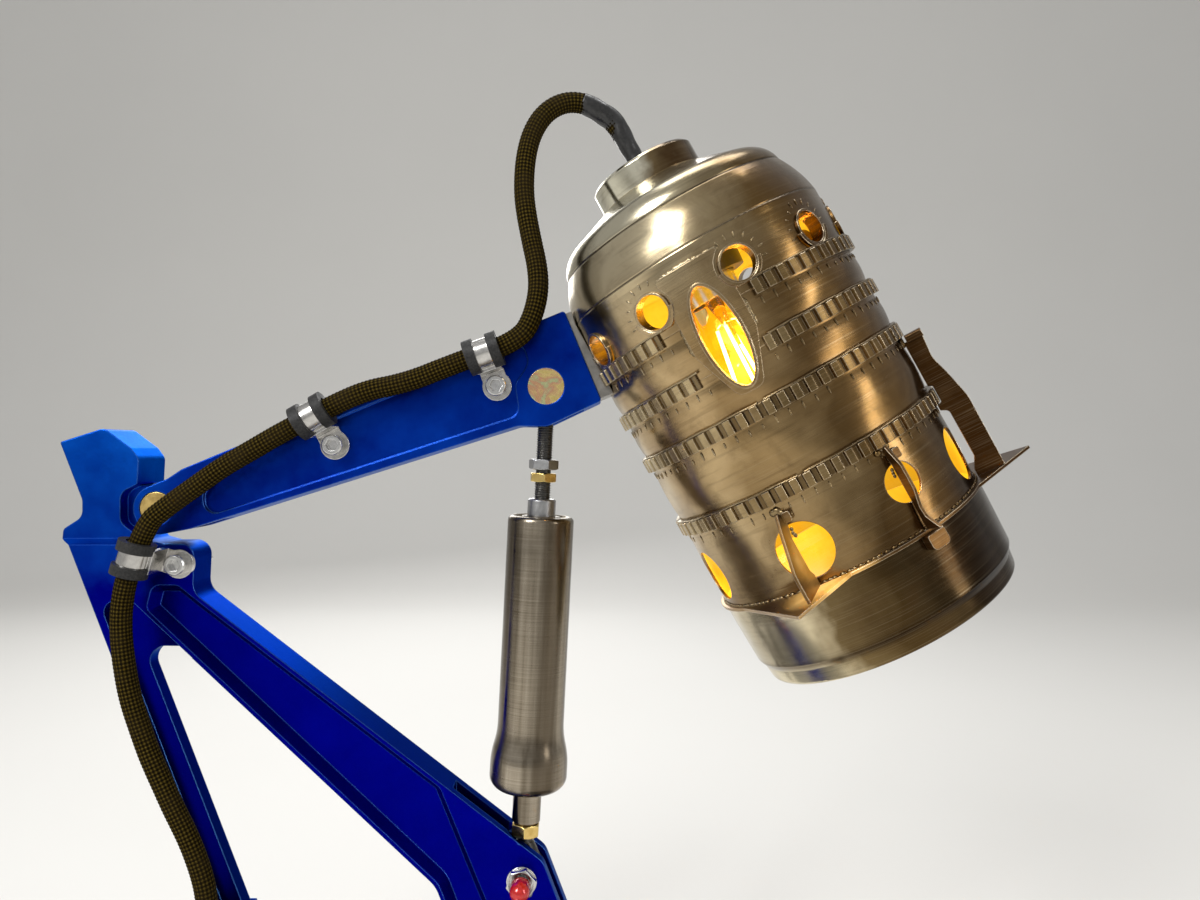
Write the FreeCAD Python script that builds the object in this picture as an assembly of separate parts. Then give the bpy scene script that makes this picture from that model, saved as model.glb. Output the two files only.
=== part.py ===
import FreeCAD, Part
import math
import os

# Desk lamp made of aircraft parts: a blue machined bracket on a round base, a blue
# swing arm carried by a telescopic strut, and an engine flame tube as the shade.
# Millimetres, +Z up. The origin lies on the table under the centre of the round base,
# the lamp's side faces -Y, and the arm reaches out along +X.

os.makedirs("parts", exist_ok=True)
Vector = FreeCAD.Vector

# General clearances
seat_gap = 0.3
running_gap = 0.05
screw_gap = 0.1

# Base
base_radius = 120.0
base_thickness = 16.0
base_edge = 3.0
pad_lift = 3.0
pad_recess = 2.0
pad_radius = 100.0
pad_edge = 1.0
base_screw_radius = 3.0
base_screw_head = 5.0
base_screw_head_height = 5.5
base_screw_grip = 14.0
base_screw_sink = 0.5
base_screw_places = (-72.0, -18.0, 36.0)

# Bracket
block_thickness = 23.0
leg_thickness = 17.0
web_thickness = 7.0
rim_width = 1.7
leg_slope = 0.385
leg_width = 12.1
foot_bar_height = 24.0
arm_pivot_x = -153.4
arm_pivot_z = 283.0
strut_pivot_x = -2.6
strut_pivot_z = 127.6
lug_radius = 9.0
lug_thickness = 11.0
fork_relief = 3.6
strut_slot = 8.6
right_leg_width = 48.8
boss_ahead = 9.0
boss_below = 23.2
boss_top = 8.3
boss_right = 5.8
step_below = 15.5
apex_above = 96.9

# Swing arm, in its own directions: along the arm and square to it
arm_angle = 22.5
arm_end = 187.0
arm_eye_radius = 9.4
arm_top = 10.8
arm_bottom = -29.4
arm_thickness = 23.0
arm_pocket_depth = 2.0
eye_slot = 11.6
arm_rim = 5.0
fork_reach = 22.0
upper_pivot_along = 168.1
upper_pivot_across = -15.1

# Pivot pins
arm_pin_radius = 4.0
arm_pin_head = 6.6
arm_pin_head_height = 2.0
bush_wall = 1.0
upper_pin_radius = 4.0
upper_pin_head = 7.5
upper_pin_head_height = 3.0
release_sleeve_radius = 4.0
release_collar_radius = 5.1
release_button_radius = 4.15
release_button_travel = 3.0
collar_length = 5.3
washer_height = 1.2
hex_ring_height = 3.0
spindle_radius = 1.4
spring_bore = 2.9
spring_floor = -2.0
spring_wire = 0.3
spring_turns = 6
spring_play = 0.2
pin_tail = 3.2
lock_ball_radius = 0.9

# Strut, measured along its axis
eye_radius = 9.5
eye_width = 7.0
ball_radius = 6.6
ball_width = 8.2
stud_radius = 3.17
nut_flats = 11.1
steel_nut_from = 30.4
steel_nut_height = 4.4
brass_nut_from = 36.2
brass_nut_height = 3.8
can_top = 54.5
collar_height = 7.3
collar_radius = 6.0
can_length = 115.0
can_radius = 14.0
can_wall = 1.6
flare_radius = 16.4
flare_length = 18.0
flare_end = 9.6
rod_radius = 6.0
rod_play = 0.65
rod_foot = 21.2
rod_length = 84.8
piston_radius = 11.6
piston_height = 8.0
rod_nut_height = 5.4

# Head, along its axis from the hub's top face
head_tilt = 29.0
hub_set_back = 4.27
hub_above = 55.8
hub_radius = 23.0
hub_height = 10.5
shell_wall = 1.2
lid_edge = 28.0
weld_line = 46.0
shell_radius = 57.4
lid_radius = 50.8
lid_bend_in = 2.3
lid_bend_up = 9.0
lid_slope_in = 8.2
lid_slope_up = 9.4
lid_round_in = 2.2
lid_round_up = 5.4
strip_stations = (71.7, 91.7, 112.0, 142.0)
strip_height = 5.6
strip_depth = 2.4
strip_teeth = 66
bulge = 0.7
flange_station = 179.0
flange_sheet = 1.2
flange_rim = 1.6
ears = ((119.0, 28.0, 104.0, 166.0), (12.0, 24.0, 38.0, -32.0), (244.0, 26.0, 222.0, 280.0))
skirt_length = 37.6
skirt_step = 0.6
mouth_step = 2.8
mouth_lip = 7.2
port_station = 61.0
port_radius = 6.6
port_count = 10
first_port = 14.8
ferrule_wall = 0.8
oval_station = 81.5
oval_angle = 104.0
oval_half_length = 20.0
oval_half_width = 7.4
patch_width = 25.0
patch_tip = 5.0
patch_above_ports = 9.0
patch_shoulder = 2.5
hole_from_flange = 14.0
small_hole_from_flange = 19.0
large_hole = 11.1
small_hole = 7.7
plate_sheet = 1.2
wide_gusset_angles = (117.3, 243.0)
narrow_gusset_angles = (72.8, -64.0)
fin_angle = 21.0
large_hole_angles = (116.0, 32.0, 170.0, 232.0, 292.0)
small_hole_angles = (71.8, -8.0, 262.0)
saddle_height = 38.0
backing_thickness = 4.5
head_bolt_radius = 3.0
head_bolt_head = 5.0
head_bolt_places = (-1.0, -18.5)

# Lamp holder and bulb, along the head's axis
nipple_radius = 6.4
nipple_bore = 4.3
nipple_length = 30.0
holder_from = 26.0
holder_radius = 20.0
holder_height = 30.0
bulb_cap_radius = 13.2
bulb_from = 40.0
bulb_cap_height = 24.0
bulb_radius = 26.0
bulb_length = 92.0

# Cord and its clips
sleeve_radius = 4.3
shrink_radius = 3.9
flex_radius = 3.5
band_radius = 6.0
band_sheet = 0.8
band_width = 10.4
lip_radius = 7.3
lip_width = 4.1
clip_width = 14.0
tab_radius = 6.0
tab_thickness = 2.0
arm_clip_stand = 10.8
frame_clip_stand = 13.8
clip_reach = 13.4
cushion_play = 0.1
clip_screw_radius = 2.5
clip_screw_head = 4.25
clip_screw_head_height = 5.0
clip_screw_grip = 7.0
clip_nut_flats = 8.0
clip_nut_height = 4.0
arm_clip_screws = ((149.4, -7.4), (78.2, -4.2))
arm_clip_angles = (-70.5, -60.5)
boss_clip_angle = -16.0
leg_clip_height = 76.7
leg_clip_angle = -14.8
shrink_length = 16.0
shrink_into_hub = 6.0
taper_length = 26.0
head_run_end = -8.5
elbow_gap = 0.3
leg_run_ends = (-8.5, -8.5)

# Inline switch and plug
switch_x = -156.0
switch_from = 40.0
switch_length = 58.0
switch_width = 24.0
switch_height = 17.0
rocker_length = 18.0
rocker_width = 10.0
rocker_angle = 9.0
plug_x = -60.0
plug_grip = 8.0
plug_length = 34.0
plug_width = 35.0
plug_thickness = 13.5
plug_pin_radius = 2.0
plug_pin_length = 19.0
plug_pin_pitch = 18.6

# Coil of flex behind the base
coil_x = -114.0
coil_y = 138.0
coil_radius = 46.0
coil_pitch = 7.8
coil_layer = 7.5
coil_turns_in = 2.0
coil_turns_out = 1.75
coil_dip = 1.6

# Sizes that follow from the driving ones
block_half = block_thickness / 2.0
leg_half = leg_thickness / 2.0
arm_half = arm_thickness / 2.0
base_top = pad_lift + base_thickness
pad_top = pad_lift + pad_recess
head_bolt_depths = (20.0, arm_end - upper_pivot_along - eye_radius - 1.8)
foot_top = base_top + foot_bar_height
head_angle = math.radians(head_tilt)
head_lean = math.radians(head_tilt - arm_angle)
hub_ahead = shell_radius / math.cos(head_lean) - hub_set_back
skirt_radius = shell_radius + skirt_step
mouth_radius = skirt_radius - mouth_step
head_length = flange_station + skirt_length
hole_station = flange_station - hole_from_flange
small_hole_station = flange_station - small_hole_from_flange
inside_shell = shell_radius - 17.4
outside_shell = shell_radius + 22.6
upper_mid = (shell_radius - lid_bend_in, weld_line - lid_bend_up)
port_angles = [first_port + i * 360.0 / port_count for i in range(port_count)]
fork_gap = lug_thickness + 2 * seat_gap
arm_clip_plane = arm_half - arm_pocket_depth
nut_radius = nut_flats / 2.0 / math.cos(math.radians(30))
cable_height = switch_height / 2.0
cord_plane_arm = -arm_clip_plane - arm_clip_stand
cord_plane_frame = -leg_half - frame_clip_stand


# Points and directions

def arm_point(along, across, y=0.0):
    """A point given along and across the arm, in the lamp's own axes."""
    turn = math.radians(arm_angle)
    x = arm_pivot_x + along * math.cos(turn) - across * math.sin(turn)
    z = arm_pivot_z + along * math.sin(turn) + across * math.cos(turn)
    return Vector(x, y, z)


arm_pivot = Vector(arm_pivot_x, 0, arm_pivot_z)
strut_pivot = Vector(strut_pivot_x, 0, strut_pivot_z)
upper_pivot = arm_point(upper_pivot_along, upper_pivot_across)
strut_length = (upper_pivot - strut_pivot).Length
hub_top = arm_point(arm_end + hub_ahead, hub_above)


def axes_at(origin, x_axis, y_axis, z_axis):
    """The placement that carries the standard axes to the given ones."""
    return FreeCAD.Placement(FreeCAD.Matrix(
        x_axis.x, y_axis.x, z_axis.x, origin.x,
        x_axis.y, y_axis.y, z_axis.y, origin.y,
        x_axis.z, y_axis.z, z_axis.z, origin.z,
        0, 0, 0, 1))


def arm_place():
    turn = math.radians(arm_angle)
    along = Vector(math.cos(turn), 0, math.sin(turn))
    across = Vector(-math.sin(turn), 0, math.cos(turn))
    return axes_at(arm_pivot, along, Vector(0, 1, 0), across)


def head_place():
    down = Vector(math.sin(head_angle), 0, -math.cos(head_angle))
    right = Vector(math.cos(head_angle), 0, math.sin(head_angle))
    return axes_at(hub_top, right, Vector(0, -1, 0), down)


def strut_place(origin, upward):
    """Z runs along the strut, up from the lower pivot or down from the upper one."""
    axis = (upper_pivot - strut_pivot).normalize()
    if not upward:
        axis = axis * -1.0
    side = Vector(0, 1, 0)
    return axes_at(origin, side.cross(axis), side, axis)


def put(shape, placement):
    moved = shape.copy()
    moved.Placement = placement.multiply(moved.Placement)
    return moved


# Solids that are used again and again

def crossing(p, p_way, q, q_way):
    """Where two lines of a plane meet, each given by a point and a direction."""
    bottom = p_way[0] * q_way[1] - p_way[1] * q_way[0]
    step = ((q[0] - p[0]) * q_way[1] - (q[1] - p[1]) * q_way[0]) / bottom
    return (p[0] + step * p_way[0], p[1] + step * p_way[1])


def rounded_edges(corners):
    """Edges in the XZ plane through the corners (x, z, radius), each corner rounded."""
    count = len(corners)
    starts = []
    ends = []
    middles = []
    for i in range(count):
        x, z, radius = corners[i]
        here = Vector(x, 0, z)
        before = Vector(corners[i - 1][0], 0, corners[i - 1][1])
        after = Vector(corners[(i + 1) % count][0], 0, corners[(i + 1) % count][1])
        back = (before - here).normalize()
        forth = (after - here).normalize()
        half_angle = back.getAngle(forth) / 2.0
        if radius <= 0 or half_angle > math.pi / 2 - 0.001:
            starts.append(here)
            ends.append(here)
            middles.append(None)
            continue
        reach = radius / math.tan(half_angle)
        bisector = (back + forth).normalize()
        starts.append(here + back * reach)
        ends.append(here + forth * reach)
        middles.append(here + bisector * (radius / math.sin(half_angle) - radius))
    edges = []
    for i in range(count):
        if middles[i] is not None:
            edges.append(Part.Arc(starts[i], middles[i], ends[i]).toShape())
        following = starts[(i + 1) % count]
        if (following - ends[i]).Length > 0.001:
            edges.append(Part.LineSegment(ends[i], following).toShape())
    return edges


def slab(corners, y_from, y_to):
    """A plate between two depths whose outline is the rounded polygon."""
    wire = Part.Wire(Part.__sortEdges__(rounded_edges(corners)))
    wire.translate(Vector(0, y_from, 0))
    return Part.Face(wire).extrude(Vector(0, y_to - y_from, 0))


def turned(profile):
    """A solid of revolution about Z. Each entry is (radius, z), or (radius, z, mid) for an
    arc from the entry before, where mid is a point on that arc."""
    edges = []
    count = len(profile)
    for i in range(count):
        a = Vector(profile[i - 1][0], 0, profile[i - 1][1])
        entry = profile[i]
        b = Vector(entry[0], 0, entry[1])
        if len(entry) == 3:
            mid = Vector(entry[2][0], 0, entry[2][1])
            edges.append(Part.Arc(a, mid, b).toShape())
        elif (b - a).Length > 0.001:
            edges.append(Part.LineSegment(a, b).toShape())
    face = Part.Face(Part.Wire(Part.__sortEdges__(edges)))
    return face.revolve(Vector(0, 0, 0), Vector(0, 0, 1), 360)


def rod(radius, start, way, length):
    return Part.makeCylinder(radius, length, start, way)


def y_rod(radius, x, z, y_from, y_to):
    return Part.makeCylinder(radius, y_to - y_from, Vector(x, y_from, z), Vector(0, 1, 0))


def tube_along(outer, inner, start, way, length):
    return rod(outer, start, way, length).cut(rod(inner, start, way, length))


def hexagon(across_flats, height, turn=0.0):
    """A six-sided prism standing on Z = 0."""
    corner = across_flats / 2.0 / math.cos(math.radians(30))
    ring = []
    for i in range(7):
        angle = math.radians(60 * i + turn)
        ring.append(Vector(corner * math.cos(angle), corner * math.sin(angle), 0))
    return Part.Face(Part.makePolygon(ring)).extrude(Vector(0, 0, height))


def hex_nut(across_flats, height, bore, turn=0.0):
    """A nut with its corners turned off on both faces."""
    corner = across_flats / 2.0 / math.cos(math.radians(30))
    drop = 0.12 * height
    flat = across_flats / 2.0 * 0.97
    dome = turned([(bore, 0), (flat, 0), (corner, drop), (corner, height - drop),
                   (flat, height), (bore, height)])
    return hexagon(across_flats, height, turn).common(dome)


def socket_screw(shank_radius, head_radius, head_height, grip):
    """A cap screw along -Z, its head standing on Z = 0 with a hexagon socket."""
    edge = 0.12 * head_radius
    head = turned([(0, 0), (head_radius, 0), (head_radius, head_height - edge),
                   (head_radius - edge, head_height), (0, head_height)])
    socket = hexagon(1.05 * head_radius, head_height)
    socket.translate(Vector(0, 0, 0.45 * head_height))
    shank = rod(shank_radius, Vector(0, 0, -grip), Vector(0, 0, 1), grip)
    return head.cut(socket).fuse(shank)


def toward_front(x, y, z):
    """A placement whose Z axis points out of the lamp's front side."""
    return axes_at(Vector(x, y, z), Vector(1, 0, 0), Vector(0, 0, 1), Vector(0, -1, 0))


def save(name, *shapes):
    """Writes one node. Its shapes stay separate solids."""
    solids = []
    for shape in shapes:
        solids += shape.Solids
    for solid in solids:
        if not solid.isValid() or solid.Volume <= 0:
            print("CHECK", name, "has a solid that is not valid, volume", round(solid.Volume, 3))
    result = solids[0] if len(solids) == 1 else Part.makeCompound(solids)
    result.exportStep("parts/" + name + ".step")
    print(name, len(solids), "solids", round(sum(s.Volume for s in solids), 1), "mm3")


# Base with its pad and screws

def build_base():
    plate = turned([(0, pad_lift), (base_radius - base_edge, pad_lift),
                    (base_radius, pad_lift + base_edge), (base_radius, base_top - base_edge),
                    (base_radius - base_edge, base_top), (0, base_top)])
    plate = plate.cut(rod(pad_radius + seat_gap, Vector(0, 0, 0), Vector(0, 0, 1), pad_top))
    pad = turned([(0, 0), (pad_radius - pad_edge, 0), (pad_radius, pad_edge), (pad_radius, pad_top),
                  (0, pad_top)])
    screws = []
    for x in base_screw_places:
        seat = pad_top + base_screw_head_height + base_screw_sink
        plate = plate.cut(rod(base_screw_head + seat_gap, Vector(x, 0, 0), Vector(0, 0, 1), seat))
        plate = plate.cut(rod(base_screw_radius + screw_gap, Vector(x, 0, 0), Vector(0, 0, 1), base_top))
        grip = base_top - seat + base_screw_grip
        screw = socket_screw(base_screw_radius, base_screw_head, base_screw_head_height, grip)
        screws.append(put(screw, axes_at(Vector(x, 0, seat), Vector(1, 0, 0), Vector(0, -1, 0),
                                         Vector(0, 0, -1))))
    save("base_plate", plate)
    save("base_pad", pad)
    save("base_screws", *screws)


# Bracket: head block, boss, leg, diagonal and right leg round one opening

def left_edge(z):
    return arm_pivot_x - 38.7 + (arm_pivot_z - 13.5 - z) * leg_slope


def right_edge(z):
    return strut_pivot_x + 14.7 + (strut_pivot_z - 7.1 - z) * leg_slope


leg_clip_z = base_top + leg_clip_height
leg_clip_x = left_edge(leg_clip_z) + leg_width / 2.0


def opening_left(z):
    return left_edge(z) + leg_width


def opening_right(z):
    return right_edge(z) - right_leg_width


def near_arm(dx, dz, radius=0.0):
    return (arm_pivot_x + dx, arm_pivot_z + dz, radius)


def near_strut(dx, dz, radius=0.0):
    return (strut_pivot_x + dx, strut_pivot_z + dz, radius)


diagonal_corner = near_strut(-35.9, -2.4)
diagonal_way = (-0.7286, 0.685)
top_way = (0.7925, -0.61)
top_end = near_strut(8.9, 7.9)
boss_x = arm_pivot_x + boss_ahead
boss_z = arm_pivot_z - boss_below
step_height = arm_pivot_z - step_below
relief_radius = arm_eye_radius + fork_relief
apex_height = strut_pivot_z + apex_above


def shifted(point, way, distance):
    """The point moved square to a direction, to its left."""
    return (point[0] - way[1] * distance, point[1] + way[0] * distance)


def frame_outline():
    """Corners of the bracket, clockwise from the top of the head block."""
    relief_x = -relief_radius * math.cos(math.radians(50))
    relief_z = relief_radius * math.sin(math.radians(50))
    waist_x = boss_x + boss_right - 1.0
    waist = crossing((waist_x, 0), (0, 1), top_end, top_way)
    return [
        near_arm(-39.6, 27.3, 0.8), near_arm(-21.4, 33.1, 4.0), near_arm(-10.3, 24.8, 2.0),
        near_arm(-7.2, 20.5, 4.0), near_arm(relief_x + 0.6, relief_z, 1.0),
        near_arm(-14.8, 6.5, 5.0), near_arm(-14.8, -6.0, 5.0), near_arm(-5.0, -13.4, 3.0),
        (boss_x - 7.5, boss_z + boss_top, 2.0), (boss_x + boss_right, boss_z + boss_top, 6.2),
        (waist[0], waist[1], 8.0), (top_end[0], top_end[1], 8.0), near_strut(14.7, -7.1, 20.0),
        (right_edge(foot_top - 8), foot_top - 8, 8.0), (right_edge(foot_top - 8) + 9, base_top, 1.0),
        (left_edge(foot_top - 6) - 8, base_top, 1.0), (left_edge(foot_top - 6), foot_top - 6, 8.0),
        near_arm(-38.7, -13.5, 2.0), near_arm(-38.2, -8.6, 2.5), near_arm(-30.4, -3.6, 5.0),
        near_arm(-30.4, 3.4, 5.0)]


def frame_opening():
    apex_right = crossing((0, apex_height), (1, 0), diagonal_corner, diagonal_way)
    return [(opening_left(apex_height), apex_height, 6.4), (apex_right[0], apex_height - 0.2, 2.0),
            (diagonal_corner[0], diagonal_corner[1], 14.0),
            (opening_right(foot_top), foot_top, 9.0), (opening_left(foot_top), foot_top, 5.0)]


def diagonal_pocket():
    """The milled recess of the diagonal and right leg, inside its rim."""
    low_line = shifted(diagonal_corner, diagonal_way, -rim_width)
    top_line = shifted(top_end, top_way, -rim_width)
    corner_x = strut_pivot_x - 34.0
    floor_z = foot_top + 14.0
    left_x = arm_pivot_x - 5.6
    shoulder = boss_z - 9.0
    inner_right = crossing((opening_right(base_top) + rim_width, base_top), (-leg_slope, 1.0),
                           low_line, diagonal_way)
    first = crossing((left_x, 0), (0, 1), low_line, diagonal_way)
    rim_start = crossing((arm_pivot_x + 17.0, 0), (0, 1), top_line, top_way)
    rim_end = crossing((corner_x, 0), (0, 1), top_line, top_way)
    return [(first[0], first[1], 4.0), (left_x + 2.5, shoulder, 4.2), (boss_x - 1.5, shoulder, 4.2),
            (rim_start[0], rim_start[1], 6.0), (rim_end[0], rim_end[1], 5.0),
            (corner_x + 5.0 + (rim_end[1] - 6 - floor_z) * leg_slope, floor_z, 6.0),
            (opening_right(floor_z) + rim_width, floor_z, 5.0),
            (inner_right[0], inner_right[1], 12.0)]


def leg_recess():
    """The recess of the left leg, open toward the bracket's opening."""
    top_z = boss_z - 15.5
    low_z = foot_top + 69.0
    under = crossing((0, top_z), (1, 0), diagonal_corner, diagonal_way)
    inside = crossing((0, apex_height - 4), (1, 0), diagonal_corner, diagonal_way)
    return [(left_edge(top_z) + 3.6, top_z, 5.0), (under[0], top_z, 1.0),
            (inside[0], inside[1], 0), (opening_left(190) + 8, 190, 0), (opening_left(low_z) + 8, low_z, 0),
            (left_edge(low_z) + 3.6, low_z, 4.0)]


def tapered_pocket(corners, y_open, y_floor, inset):
    """A pocket cutter whose walls lean inward from its opening to its floor."""
    wide = Part.Wire(Part.__sortEdges__(rounded_edges(corners)))
    narrow = wide.makeOffset2D(-inset)
    wide.translate(Vector(0, y_open, 0))
    narrow.translate(Vector(0, y_floor, 0))
    return Part.makeLoft([wide, narrow], True, True)


def build_bracket():
    body = slab(frame_outline(), -block_half, block_half)
    body = body.cut(slab(frame_opening(), -block_half, block_half))
    floor = web_thickness / 2.0
    for side in (-1, 1):
        lower = [Vector(-400, side * leg_half, 0), Vector(-400, side * leg_half, step_height),
                 Vector(-400, side * block_half, step_height + 3.0), Vector(-400, side * 20, step_height + 3.0),
                 Vector(-400, side * 20, 0)]
        body = body.cut(Part.Face(Part.makePolygon(lower + [lower[0]])).extrude(Vector(600, 0, 0)))
        y_in = side * floor
        y_out = side * leg_half
        body = body.cut(tapered_pocket(diagonal_pocket(), y_out, y_in, 3.2))
        body = body.cut(slab(leg_recess(), min(y_in, y_out * 1.1), max(y_in, y_out * 1.1)))
    lug_half = lug_thickness / 2.0
    lug = y_rod(lug_radius, arm_pivot_x, arm_pivot_z, -lug_half, lug_half)
    web = slab([near_arm(-relief_radius - 6, lug_radius), near_arm(0, lug_radius),
                near_arm(0, -lug_radius), near_arm(-relief_radius - 6, -lug_radius)], -lug_half, lug_half)
    body = body.fuse(lug).fuse(web)
    slot_half = strut_slot / 2.0
    slot = slab([near_strut(-29.3, 60), near_strut(-29.3, 33), near_strut(-13.5, -7, 4),
                 near_strut(-4, -14, 6), near_strut(60, -34), near_strut(60, 60)], -slot_half, slot_half)
    body = body.cut(slot)
    relief = rod(nut_flats * 0.775, Vector(0, 0, rod_foot - rod_nut_height - 0.8), Vector(0, 0, 1), 60)
    body = body.cut(put(relief, strut_place(strut_pivot, True)))
    body = body.cut(y_rod(arm_pin_radius, arm_pivot_x, arm_pivot_z, -lug_half, lug_half))
    body = body.cut(y_rod(release_sleeve_radius, strut_pivot_x, strut_pivot_z, -leg_half, leg_half))
    for x, z in ((boss_x, boss_z), (leg_clip_x, leg_clip_z)):
        body = body.cut(y_rod(clip_screw_radius + screw_gap, x, z, -leg_half, leg_half))
    for x in base_screw_places:
        body = body.cut(rod(base_screw_radius + screw_gap, Vector(x, 0, base_top), Vector(0, 0, 1),
                            base_screw_grip + 1.0))
    save("frame_bracket", body.removeSplitter())


# Swing arm with its fork, pocket and slotted end block

def build_arm():
    outline = [(-arm_eye_radius, arm_eye_radius, arm_eye_radius - 0.05), (9.0, arm_eye_radius, 8.0),
               (16.0, arm_top, 8.0), (arm_end, arm_top, 1.2), (arm_end, arm_bottom, 1.2),
               (162.0, arm_bottom - 1.2, 6.0), (151.0, arm_bottom + 3.6, 8.0), (9.0, -13.2, 7.0),
               (-arm_eye_radius, -arm_eye_radius, arm_eye_radius - 0.1)]
    body = slab(outline, -arm_half, arm_half)
    fork = Part.makeBox(fork_reach + 30, fork_gap, 60, Vector(-30, -fork_gap / 2.0, -30))
    body = body.cut(fork)
    pocket_top = arm_top - arm_rim
    pocket = [(17.0, -11.2, 5.0), (20.0, -2.0, 5.0), (33.0, pocket_top, 8.0), (165.8, pocket_top, 4.0),
              (165.4, -3.5, 6.0), (156.5, -9.5, 6.0), (153.6, -22.0, 5.0)]
    for side in (-1, 1):
        y_in = side * arm_clip_plane
        y_out = side * arm_half
        body = body.cut(slab(pocket, min(y_in, y_out), max(y_in, y_out)))
    reach = eye_radius + 1.2
    slot = [(upper_pivot_along - reach, upper_pivot_across + reach, 5.0),
            (upper_pivot_along + reach, upper_pivot_across + reach, 5.0),
            (upper_pivot_along + reach, arm_bottom - 10, 0), (upper_pivot_along - reach - 8, arm_bottom - 10, 0),
            (upper_pivot_along - reach, upper_pivot_across, 4.0)]
    body = body.cut(slab(slot, -eye_slot / 2.0, eye_slot / 2.0))
    bush_outer = arm_pin_radius + running_gap + bush_wall
    body = body.cut(y_rod(bush_outer, 0, 0, -arm_half, arm_half))
    head_depth = arm_pin_head_height + seat_gap
    for side in (-1, 1):
        y_face = side * arm_half
        y_deep = side * (arm_half - head_depth)
        body = body.cut(y_rod(arm_pin_head + seat_gap, 0, 0, min(y_face, y_deep), max(y_face, y_deep)))
    body = body.cut(y_rod(upper_pin_radius, upper_pivot_along, upper_pivot_across, -arm_half, arm_half))
    for side in (-1, 1):
        y_face = side * arm_half
        y_deep = side * (arm_half - upper_pin_head_height)
        body = body.cut(y_rod(upper_pin_head, upper_pivot_along, upper_pivot_across,
                              min(y_face, y_deep), max(y_face, y_deep)))
    for along, across in arm_clip_screws:
        body = body.cut(y_rod(clip_screw_radius + screw_gap, along, across, -arm_half, -arm_half + 11.0))
    for across, depth in zip(head_bolt_places, head_bolt_depths):
        body = body.cut(rod(head_bolt_radius + screw_gap, Vector(arm_end - depth, 0, across),
                            Vector(1, 0, 0), depth + 1))
    save("swing_arm", put(body.removeSplitter(), arm_place()))


def build_arm_pivot():
    prong_inner = fork_gap / 2.0
    prong_outer = arm_half - arm_pin_head_height - seat_gap
    bushes = []
    for side in (-1, 1):
        bush = tube_along(arm_pin_radius + running_gap + bush_wall, arm_pin_radius + running_gap,
                          Vector(0, min(side * prong_inner, side * prong_outer), 0), Vector(0, 1, 0),
                          prong_outer - prong_inner)
        bushes.append(put(bush, arm_place()))
    save("arm_pivot_bushes", *bushes)
    head_face = arm_half - 0.1
    pin = y_rod(arm_pin_radius, arm_pivot_x, arm_pivot_z, -head_face, head_face - arm_pin_head_height)
    head = y_rod(arm_pin_head, arm_pivot_x, arm_pivot_z, -head_face, -head_face + arm_pin_head_height)
    cap = y_rod(arm_pin_head, arm_pivot_x, arm_pivot_z, head_face - arm_pin_head_height, head_face)
    save("arm_pivot_pin", pin.fuse(head).removeSplitter(), cap)


def build_upper_pin():
    x, z = upper_pivot.x, upper_pivot.z
    pin = y_rod(upper_pin_radius, x, z, -arm_half, arm_half)
    head = y_rod(upper_pin_head, x, z, -arm_half, -arm_half + upper_pin_head_height)
    ring = y_rod(upper_pin_head, x, z, arm_half - upper_pin_head_height, arm_half)
    save("upper_strut_pin", pin.fuse(head).removeSplitter(), ring.cut(pin))


# Lower pin: a hollow push-button pin that can be drawn out to free the strut

def build_release_pin():
    x, z = strut_pivot.x, strut_pivot.z
    face = -leg_half
    collar_back = face - washer_height
    collar_front = collar_back - collar_length
    back = leg_half + pin_tail
    button_rest = collar_front + release_button_travel - 2.0
    sleeve = y_rod(release_sleeve_radius, x, z, collar_back, back)
    sleeve = sleeve.fuse(y_rod(release_collar_radius, x, z, collar_front, collar_back))
    sleeve = sleeve.cut(y_rod(release_button_radius + running_gap, x, z, collar_front, collar_back + 0.5))
    sleeve = sleeve.cut(y_rod(spring_bore, x, z, collar_back, spring_floor))
    sleeve = sleeve.cut(y_rod(spindle_radius + running_gap, x, z, spring_floor, back - 1.0))
    ball_y = leg_half + 1.2
    balls = []
    for way in (Vector(1, 0, 0), Vector(-1, 0, 0)):
        centre = Vector(x, ball_y, z) + way * (release_sleeve_radius - 0.5)
        hole = rod(lock_ball_radius + 0.1, Vector(x, ball_y, z), way, release_sleeve_radius + 1)
        sleeve = sleeve.cut(hole)
        balls.append(Part.makeSphere(lock_ball_radius, centre))
    washer = y_rod(release_collar_radius + 1.2, x, z, collar_back, face)
    washer = washer.cut(y_rod(release_sleeve_radius, x, z, collar_back, face))
    ring = put(hex_nut(nut_flats, hex_ring_height, release_collar_radius, 12.0), toward_front(x, collar_back, z))
    save("release_pin_sleeve", largest(sleeve), washer, ring, *balls)
    tip = collar_front - 7.2
    dome_from = collar_front - 3.6
    button = turned([(0, 0), (release_button_radius, 0), (release_button_radius, button_rest - dome_from),
                     (0, button_rest - tip, dome_mid(release_button_radius, button_rest - dome_from,
                                                     button_rest - tip))])
    save("red_push_button", put(button, toward_front(x, button_rest, z)))
    spindle = y_rod(spindle_radius, x, z, button_rest, back - 1.3 - release_button_travel)
    save("release_pin_spindle", spindle)
    spring_from = button_rest + release_button_travel + spring_play
    save("release_spring", release_spring(x, z, spring_from, spring_floor - spring_play))


def release_spring(x, z, y_from, y_to):
    """A coil spring round the spindle, as a helix of wire."""
    coil = (spindle_radius + spring_bore) / 2.0
    length = y_to - y_from - 2 * spring_wire
    helix = Part.makeHelix(length / spring_turns, length, coil)
    profile = Part.Wire([Part.makeCircle(spring_wire, Vector(coil, 0, 0), Vector(0, 1, 0))])
    wire = Part.Wire(helix.Edges).makePipeShell([profile], True, True)
    wire.translate(Vector(0, 0, spring_wire))
    return put(wire, axes_at(Vector(x, y_from, z), Vector(1, 0, 0), Vector(0, 0, -1), Vector(0, 1, 0)))


# Strut: an upper rod end, stud and can over a lower rod and rod end

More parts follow.
